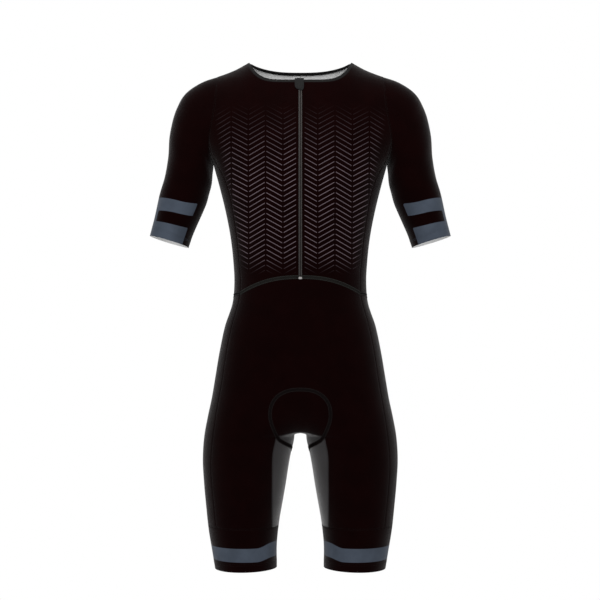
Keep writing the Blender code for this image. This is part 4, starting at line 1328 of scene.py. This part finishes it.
GARAGE_RIM = 0.25  # how much thinner its rims are on each face
GARAGE_STITCH_INSET = 0.0014  # its stitches' distance from its sides, and from its top and its lower end
GARAGE_STITCH_ENDS = (0.002, 0.0016)
GARAGE_STITCH_SAG = 0.7
GARAGE_STITCH, GARAGE_THREAD = 0.75, (0.0004, 0.00025)  # a stitch's length, as a share of a row


def garage_rows():
    """The flap's rows, up the inside of the neck's edge, over it and down the outside."""
    for step in range(GARAGE_INSIDE_ROWS):
        yield GARAGE_INSIDE * (1 - step / GARAGE_INSIDE_ROWS), -GARAGE_UNDER, math.pi
    middle, radius = (GARAGE_LIFT - GARAGE_UNDER) / 2, (GARAGE_LIFT + GARAGE_UNDER) / 2
    for step in range(GARAGE_FOLD_ROWS + 1):
        turn = math.pi * (1 - step / GARAGE_FOLD_ROWS)
        yield -radius * math.sin(turn), middle + radius * math.cos(turn), turn
    for step in range(1, GARAGE_OUTSIDE_ROWS + 1):
        share = step / GARAGE_OUTSIDE_ROWS
        crown = GARAGE_CROWN * ease(GARAGE_FULLNESS * math.sin(math.pi * share))
        yield GARAGE_OUTSIDE * share, GARAGE_LIFT + crown, 0.0


def garage_sides(along):
    """Where the flap's two sides are this far down it. Its lower corners are round."""
    left = max(along - GARAGE_OUTSIDE + GARAGE_CORNER, 0.0)
    cut = GARAGE_CORNER - math.sqrt(GARAGE_CORNER**2 - left**2)
    return GARAGE_SIDES[0] + cut, GARAGE_SIDES[1] - GARAGE_TAPER * cut


def garage_sag(lift):
    """How much lower the flap's sides are than its middle, where it is lifted this far."""
    return GARAGE_SAG * max(lift - GARAGE_LIFT, 0.0)


def garage(material):
    """The flap that is folded over the top of the zip, with rounded rims."""
    edge, _, down = front_frame(NECK_FRONT)
    sections = []
    for along, lift, turn in garage_rows():
        place, out, here = front_frame(NECK_FRONT - max(along, 0.0) * abs(down.z))
        if along < 0:
            place = edge + down * along
        normal = out * math.cos(turn) - here * math.sin(turn)
        under, over = [], []
        for i in range(GARAGE_COLUMNS + 1):
            across = i / GARAGE_COLUMNS
            x = mix(*garage_sides(along), across)
            at = place + Vector((x, 0, 0)) + out * (lift - garage_sag(lift) * (2 * across - 1) ** 2)
            rim = GARAGE_CLOTH * (GARAGE_RIM if i in (0, GARAGE_COLUMNS) else 0.0)
            under.append(at + normal * rim)
            over.append(at + normal * (GARAGE_CLOTH - rim))
        sections.append([tuple(corner) for corner in [*over, *reversed(under)]])
    return loft("garage_flap", np.array(sections), material)


def garage_stitches(material):
    """The row of stitches inside the flap's edge, which holds it to the panels under it."""
    _, _, down = front_frame(NECK_FRONT)
    first, last = GARAGE_STITCH_ENDS[0], GARAGE_OUTSIDE - GARAGE_STITCH_ENDS[1]
    lines = ([], [])
    for along, lift, turn in garage_rows():
        if turn == 0 and first < along < last:
            place, out, _ = front_frame(NECK_FRONT - along * abs(down.z))
            sag = garage_sag(lift) * GARAGE_STITCH_SAG
            low, high = garage_sides(along)
            for line, x in zip(lines, (low + GARAGE_STITCH_INSET, high - GARAGE_STITCH_INSET)):
                line.append((place + Vector((x, 0, 0)) + out * (lift - sag + GARAGE_CLOTH), out))
    made = []
    for line in lines:
        for (start, _), (end, out) in zip(line, line[1:]):
            made.append(((start + end) / 2, (end - start) * GARAGE_STITCH, out))
    stitches = tuple(np.array([tuple(v) for v in part]) for part in zip(*made))
    return thread("garage_stitches", [stitches], *GARAGE_THREAD, material)


# Materials

COLOURS = {  # screen values of 0 to 255
    "inside_grey": (224, 224, 224),
    "grey_knit": (38, 36, 37),
    "seam_tape": (18, 17, 16),
    "waist_thread": (34, 34, 32),
    "waist_zigzag": (22, 22, 20),
    "pad_tape": (8, 5, 5),
    "pad_thread": (19, 14, 14),
    "pad_zigzag": (9, 6, 6),
    "black_thread": (13, 7, 7),
    "binding_knit": (18, 17, 17),
    "binding_thread": (34, 33, 32),
    # painted shade: the zip's middle groove is given this dark colour for the shade in that recess
    "zip_tape": (50, 48, 47),
    "zip_groove_painted_shade": (8, 7, 7),
    "garage_knit": (24, 24, 24),
    "garage_thread": (37, 37, 36),
    "brushed_metal": (152, 149, 147),
}
KNIT_WALE, KNIT_COURSE, KNIT_DEPTH = 0.00075, 0.00060, 0.00012
KNIT_LOOPS = 0.35  # how high its loops are beside its ribs
BLACK = (0.0028, 0.0004, 0.0004, 1.0)
BLACK_CLOTH = {"Specular_IOR_Level": 0.004, "Sheen_Weight": 0.10, "Sheen_Roughness": 0.35}
SLATE = (0.041, 0.050, 0.066, 1.0)
SLATE_THREAD = 0.8  # how dark the thread on the slate bands is beside them
BAND_EDGE = 0.0002

PRINT = (0.092, 0.071, 0.081, 1.0)
PRINT_COLUMN, PRINT_PITCH, PRINT_SLANT = 0.0310, 0.0092, 1.9
PRINT_WIDTH, PRINT_BLUR = 0.066, 0.03  # half a line's width and its edges, as shares of the pitch
PRINT_GAP = (0.46, 0.44)  # where the lines end in their column, as a share of it
PRINT_FADES = ((-0.080, -0.235), (-0.392, -0.345))
PRINT_ZIP = (0.0042, 0.0048)  # where the lines end beside the zip
PRINT_SIDE = (0.178, 0.162)
PRINT_TAPER = 0.184  # how much narrower the print is for each metre down

TWISTS = {  # roughness, the twist's scale and depth, and how uneven its colour is and at what scale
    "yarn": (0.5, 900.0, 0.00005, 0.18, 400.0),
    "twill": (0.6, 420.0, 0.0001, 0.10, 300.0),
}


class Nodes:
    """Builds a material's nodes."""

    def __init__(self, name, **sockets):
        self.material = bpy.data.materials.new(name)
        self.material.use_nodes = True
        self.tree = self.material.node_tree
        self.shader = self.tree.nodes["Principled BSDF"]
        for socket, value in sockets.items():
            self.shader.inputs[socket.replace("_", " ")].default_value = value

    def node(self, kind, output=0, settings=(), **inputs):
        made = self.tree.nodes.new("ShaderNode" + kind)
        for key, value in dict(settings).items():
            setattr(made, key, value)
        for key, value in inputs.items():
            self.put(value, made.inputs[int(key[1:]) if key[1:].isdigit() else key.replace("_", " ")])
        return made.outputs[output]

    def put(self, value, socket):
        if isinstance(value, bpy.types.NodeSocket):
            self.tree.links.new(value, socket)
        else:
            socket.default_value = value

    def math(self, operation, *values):
        inputs = {f"i{n}": value for n, value in enumerate(values)}
        return self.node("Math", 0, {"operation": operation}, **inputs)

    def product(self, first, *others):
        for other in others:
            first = self.math("MULTIPLY", first, other)
        return first

    def between(self, value, low, high, to_low=0.0, to_high=1.0):
        """The value's place from low to high, clamped and smooth."""
        settings = {"interpolation_type": "SMOOTHSTEP"}
        return self.node("MapRange", 0, settings, i0=value, i1=low, i2=high, i3=to_low, i4=to_high)

    def fact(self, name, output=2):
        return self.node("Attribute", output, {"attribute_name": name})

    def where(self):
        return self.node("TexCoord", 3)

    def uneven(self, low, high, scale, detail=2.0, where=None, edge=0.3):
        """A level that drifts softly from one value to the other."""
        noise = self.node("TexNoise", 0, (), Vector=where or self.where(), Scale=scale, Detail=detail)
        return self.between(noise, edge, 1 - edge, low, high)

    def shade(self, colour, share=0.12, scale=28.0):
        """A colour, or a node's colour, with soft uneven light and dark places."""
        if not isinstance(colour, bpy.types.NodeSocket):
            base = self.node("RGB")
            base.default_value = colour
            colour = base
        level = self.uneven(1 - share, 1 + share, scale, 3.0)
        return self.node("VectorMath", 0, {"operation": "SCALE"}, i0=colour, Scale=level)

    def finish(self, colour, roughness=None, height=None, distance=KNIT_DEPTH, strength=0.4):
        self.put(colour, self.shader.inputs["Base Color"])
        if roughness is not None:
            self.put(roughness, self.shader.inputs["Roughness"])
        if height is not None:
            bump = self.node("Bump", 0, (), Height=height, Distance=distance, Strength=strength)
            self.put(bump, self.shader.inputs["Normal"])
        return self.material


def rgb(name):
    """A colour's linear values."""
    shares = [level / 255 for level in COLOURS[name]]
    return (*(s / 12.92 if s <= 0.04045 else ((s + 0.055) / 1.055) ** 2.4 for s in shares), 1.0)


def knit(nodes):
    """The height of a fine knit: columns of small loops, each like a V."""
    split = nodes.node("SeparateXYZ", 0, (), Vector=nodes.fact("weave", 1))
    across = nodes.math("DIVIDE", split, KNIT_WALE)
    along = nodes.math("DIVIDE", split.node.outputs[1], KNIT_COURSE)
    inside_wale = nodes.math("ABSOLUTE", nodes.math("SUBTRACT", nodes.math("FRACT", across), 0.5))
    rib = nodes.math("SUBTRACT", 1.0, nodes.math("MULTIPLY", inside_wale, 2.0))
    loops = nodes.math("SINE", nodes.math("MULTIPLY", nodes.math("ADD", along, inside_wale), 2 * math.pi))
    return nodes.math("ADD", rib, nodes.math("MULTIPLY", loops, KNIT_LOOPS))


def knitted(nodes, colour, rough=(0.50, 0.62), relief=0.35, tone=0.12):
    return nodes.finish(nodes.shade(colour, tone), nodes.uneven(*rough, 60.0), knit(nodes), strength=relief)


def plain_knit(name, gloss=0.05, sheen=0.0, **rest):
    nodes = Nodes(name, Specular_IOR_Level=gloss, Sheen_Weight=sheen, Sheen_Roughness=0.4)
    return knitted(nodes, rgb(name), (0.55, 0.67), **rest)


def black_knit():
    """The suit's black knit, with its slate bands."""
    nodes = Nodes("black_knit", **BLACK_CLOTH)
    band = nodes.between(nodes.fact("band"), -BAND_EDGE, BAND_EDGE)
    return knitted(nodes, two_colours(nodes, band, SLATE))


def two_colours(nodes, share, other):
    """Black, and the other colour where the share is 1."""
    return nodes.node("Mix", 2, {"data_type": "RGBA"}, i0=share, i6=BLACK, i7=other)


def printed_knit():
    """The chest's knit: slanting lines in columns that turn to and fro, which fade out at both ends."""
    nodes = Nodes("printed_knit", **BLACK_CLOTH)
    split = nodes.node("SeparateXYZ", 0, (), Vector=nodes.where())
    from_middle, height = nodes.math("ABSOLUTE", split), split.node.outputs[2]
    across = nodes.math("DIVIDE", from_middle, PRINT_COLUMN)
    in_column = nodes.math("FRACT", across)
    odd = nodes.math("GREATER_THAN", nodes.math("FRACT", nodes.math("MULTIPLY", across, 0.5)), 0.5)
    other = nodes.math("SUBTRACT", 1.0, in_column)
    slanted = nodes.node("Mix", 0, {"data_type": "FLOAT"}, i0=odd, i2=in_column, i3=other)
    slant = nodes.math("MULTIPLY", slanted, PRINT_SLANT)
    rise = nodes.math("ADD", nodes.math("DIVIDE", height, PRINT_PITCH), slant)
    from_line = nodes.math("ABSOLUTE", nodes.math("SUBTRACT", nodes.math("FRACT", rise), 0.5))
    from_centre = nodes.math("ABSOLUTE", nodes.math("SUBTRACT", in_column, 0.5))
    taper = nodes.math("MULTIPLY", height, PRINT_TAPER)
    line = nodes.product(
        nodes.between(from_line, PRINT_WIDTH + PRINT_BLUR, PRINT_WIDTH - PRINT_BLUR),
        nodes.between(from_centre, *PRINT_GAP),
        *(nodes.between(height, *fade) for fade in PRINT_FADES),
        nodes.between(nodes.fact("zip"), *PRINT_ZIP),
        nodes.between(nodes.math("SUBTRACT", from_middle, taper), *PRINT_SIDE),
    )
    return knitted(nodes, two_colours(nodes, line, PRINT))


def twisted(name, kind="yarn", colour=None):
    """Thread or the zip's woven tape: a fine slanting twist, and a little gloss."""
    roughness, scale, depth, tone, tone_scale = TWISTS[kind]
    nodes = Nodes(name, Specular_IOR_Level=0.05, Roughness=roughness)
    twist = nodes.node("TexWave", 1, {"bands_direction": "DIAGONAL"}, Vector=nodes.where(), Scale=scale)
    return nodes.finish(nodes.shade(colour or rgb(name), tone, tone_scale), None, twist, depth)


def metal():
    nodes = Nodes("brushed_metal", Metallic=1.0)
    brushed = nodes.node("VectorMath", 0, {"operation": "MULTIPLY"}, i0=nodes.where(), i1=(3000, 300, 300))
    rough = nodes.uneven(0.28, 0.45, 1.0, where=brushed, edge=0.2)
    return nodes.finish(nodes.shade(rgb("brushed_metal"), 0.05, 200.0), rough)


# All the trims and stitches

SEAM_ROWS = 0.0013  # how far from a seam its two rows of stitches are
HEM_ROWS = (0.0120, 0.0150)  # how far from the edge the rows of a hem's stitches are
LEG_ROW, SLEEVE_ROW = 0.0198, 0.0205  # how long the last rows of the leg and of the sleeve are
SEAM_STITCHES, SEAM_LIFT = (0.0032, 0.0024), 0.0001  # their pitch and length, and how high they lie
HEM_STITCHES = (0.0034, 0.0026)
THREAD = (0.0006, 0.0003)  # a stitch's width and height
WAIST_WIDTH, WAIST_BACK_WIDTH, PAD_WIDTH = 0.0070, 0.0064, 0.0072
TAPE_GLOSS, FLAP_GLOSS = 0.02, 0.03


def flatlocks(cloth):
    """The waist's seam before and behind, and the pad's ring."""
    knits = plain_knit("seam_tape", TAPE_GLOSS), twisted("waist_thread"), twisted("waist_zigzag")
    waist = flatlock("waist", cloth, waist_front(), WAIST_WIDTH, *knits, False)
    knits = plain_knit("pad_tape", TAPE_GLOSS), twisted("pad_thread"), twisted("pad_zigzag")
    behind = flatlock("waist_back", cloth, waist_back(), WAIST_BACK_WIDTH, *knits, False)
    return waist, [*behind, *flatlock("pad", cloth, round_pad(), PAD_WIDTH, *knits)]


def seams_and_hems(cloth):
    """The plain rows of stitches: beside the seams, and along the hems of the legs and the sleeves."""
    ends = (down_side_seam, lambda: down_inner_seam("front"), lambda: down_inner_seam("back"))
    lines = [(line(), False) for line in (*ends, along_shoulder, under_arm)]
    lines += [(round_armhole(), True), (round_leg(CUFF_SEAM_ROW), True)]
    seams, hems, cuffs = [], [], []
    for side in WORDS:
        for path, closed in lines:
            for over in (-SEAM_ROWS, SEAM_ROWS):
                path_here = on_side(path, side)
                seams.append(row(cloth, path_here, *SEAM_STITCHES, over, closed=closed, lift=SEAM_LIFT))
        for back in HEM_ROWS:
            leg = on_side(round_leg(LEG_END - back / LEG_ROW), side)
            sleeve = on_side(round_sleeve(len(SLEEVE_ROWS) - 1 - back / SLEEVE_ROW), side)
            hems.append(row(cloth, leg, *HEM_STITCHES, closed=True))
            cuffs.append(row(cloth, sleeve, *HEM_STITCHES, closed=True))
    black = twisted("black_thread")
    slate = twisted("slate_thread", colour=(*(level * SLATE_THREAD for level in SLATE[:3]), 1.0))
    sewn = (("seam", seams, black), ("leg_hem", hems, black), ("sleeve_hem", cuffs, slate))
    return [thread(name + "_stitches", rows, *THREAD, yarn) for name, rows, yarn in sewn]


def trims(cloth):
    """Everything that is sewn on. Returns the two small cloth pieces, and what goes with each cloth piece."""
    waist, behind = flatlocks(cloth)
    seams, hem, cuff = seams_and_hems(cloth)
    bound = plain_knit("binding_knit")
    strip_piece, binding_stitches = neck_binding(cloth, bound, twisted("binding_thread"))
    # the groove's dark twill is painted shade in the recess between the zip's halves
    zip_tape, groove = twisted("zip_tape", "twill"), twisted("zip_groove_painted_shade", "twill")
    tapes = {}
    for side, word in WORDS.items():
        half = tapes[word] = zip_strip(side, zip_tape, groove)
        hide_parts("zip_" + word)
    flap = garage(plain_knit("garage_knit", FLAP_GLOSS))
    flap_stitches = garage_stitches(twisted("garage_thread"))
    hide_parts("neck_binding")
    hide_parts("zip_garage")
    satin = metal()
    for node in ("zip_slider", "zip_stop"):
        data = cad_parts[node].data
        data.materials.clear()
        data.materials.append(satin)
    sewn = {
        "front_left": [tapes["left"]],
        "front_right": [tapes["right"]],
        "back": [seams],
        "sleeve_left": [cuff],
        "neck_binding": [binding_stitches],
        "zip_garage": [flap_stitches],
        "shorts_front": waist,
        "shorts_back": behind,
        "leg_cuff_left": [hem],
    }
    return {"neck_binding": strip_piece, "zip_garage": flap}, sewn


# Stage

CAMERA_DISTANCE = 3.4
PIXEL = 0.00184  # what one pixel of a picture 600 wide shows at the suit's mid-plane
PICTURE = 600
SENSOR = 36
CAMERA_X = -0.00055
CAMERA_Z = -0.436
FLOOR = -1.48
FLOOR_RADIUS = 2.6
FLOOR_CORNERS = 96
LIGHTS = {  # kind, place, what it shines at, and its settings
    "key": ("AREA", (-0.4, -2.4, 1.9), (0, 0, -0.35), {"shape": "DISK", "size": 2.2, "energy": 75}),
    "collar_light": (
        *("SPOT", (0, -2.2, 0.55), (0, 0.05, -0.03)),
        {"energy": 260, "spot_size": math.radians(9), "spot_blend": 0.6, "shadow_soft_size": 0.25},
    ),
}


def stage():
    scene = bpy.context.scene
    world = scene.world = bpy.data.worlds.new("studio")
    world.use_nodes = True
    world.node_tree.nodes["Background"].inputs[0].default_value = (1, 1, 1, 1)
    world.node_tree.nodes["Background"].inputs[1].default_value = 1.0
    scene.view_settings.view_transform = "Standard"
    scene.view_settings.look = "None"
    data = bpy.data.cameras.new("camera")
    data.sensor_width = SENSOR
    data.lens = SENSOR * CAMERA_DISTANCE / (PICTURE * PIXEL)
    scene.camera = add_to_scene("camera", data, (CAMERA_X, -CAMERA_DISTANCE, CAMERA_Z))
    scene.camera.rotation_euler = (math.pi / 2, 0, 0)
    for name, (kind, place, aim, settings) in LIGHTS.items():
        data = bpy.data.lights.new(name, kind)
        for key, value in settings.items():
            setattr(data, key, value)
        lamp = add_to_scene(name, data, place)
        lamp.rotation_euler = (Vector(aim) - lamp.location).to_track_quat("-Z", "Y").to_euler()
    corners = []
    for n in range(FLOOR_CORNERS):
        angle = 2 * math.pi * n / FLOOR_CORNERS
        corners.append((FLOOR_RADIUS * math.cos(angle), FLOOR_RADIUS * math.sin(angle), FLOOR))
    nodes = Nodes("floor", Roughness=0.7)
    pale = nodes.uneven(0.80, 0.84, 3.0, edge=0.2)
    colour = nodes.node("CombineColor", 0, (), i0=pale, i1=pale, i2=pale)
    add_object("floor", corners, [range(FLOOR_CORNERS)], [nodes.finish(colour)], False)


def main():
    form = Form(left_blocks())
    fold = smooth(np.clip((ZIP_FOLD_WIDTH - form.facts["zip"]) / ZIP_FOLD_TURN, 0, 1))
    form.press(ZIP_FOLD * fold - GROOVE * np.exp(-((form.facts["seam"] / GROOVE_WIDTH) ** 2)))
    form.press(creases(form))
    black, printed = black_knit(), printed_knit()
    lining = plain_knit("inside_grey", relief=0.15, tone=0.04)
    grey = plain_knit("grey_knit", sheen=0.35)
    pieces = {}
    for name in sorted(set(form.names) - {"neck_binding"}):
        inner = "inner_leg" in name
        outside = grey if inner else printed if "front_" in name else black
        piece = pieces[name] = shell(form, name, outside, grey if inner else lining)
        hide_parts(name)
    small, sewn = trims(Cloth(form))
    stage()


main()
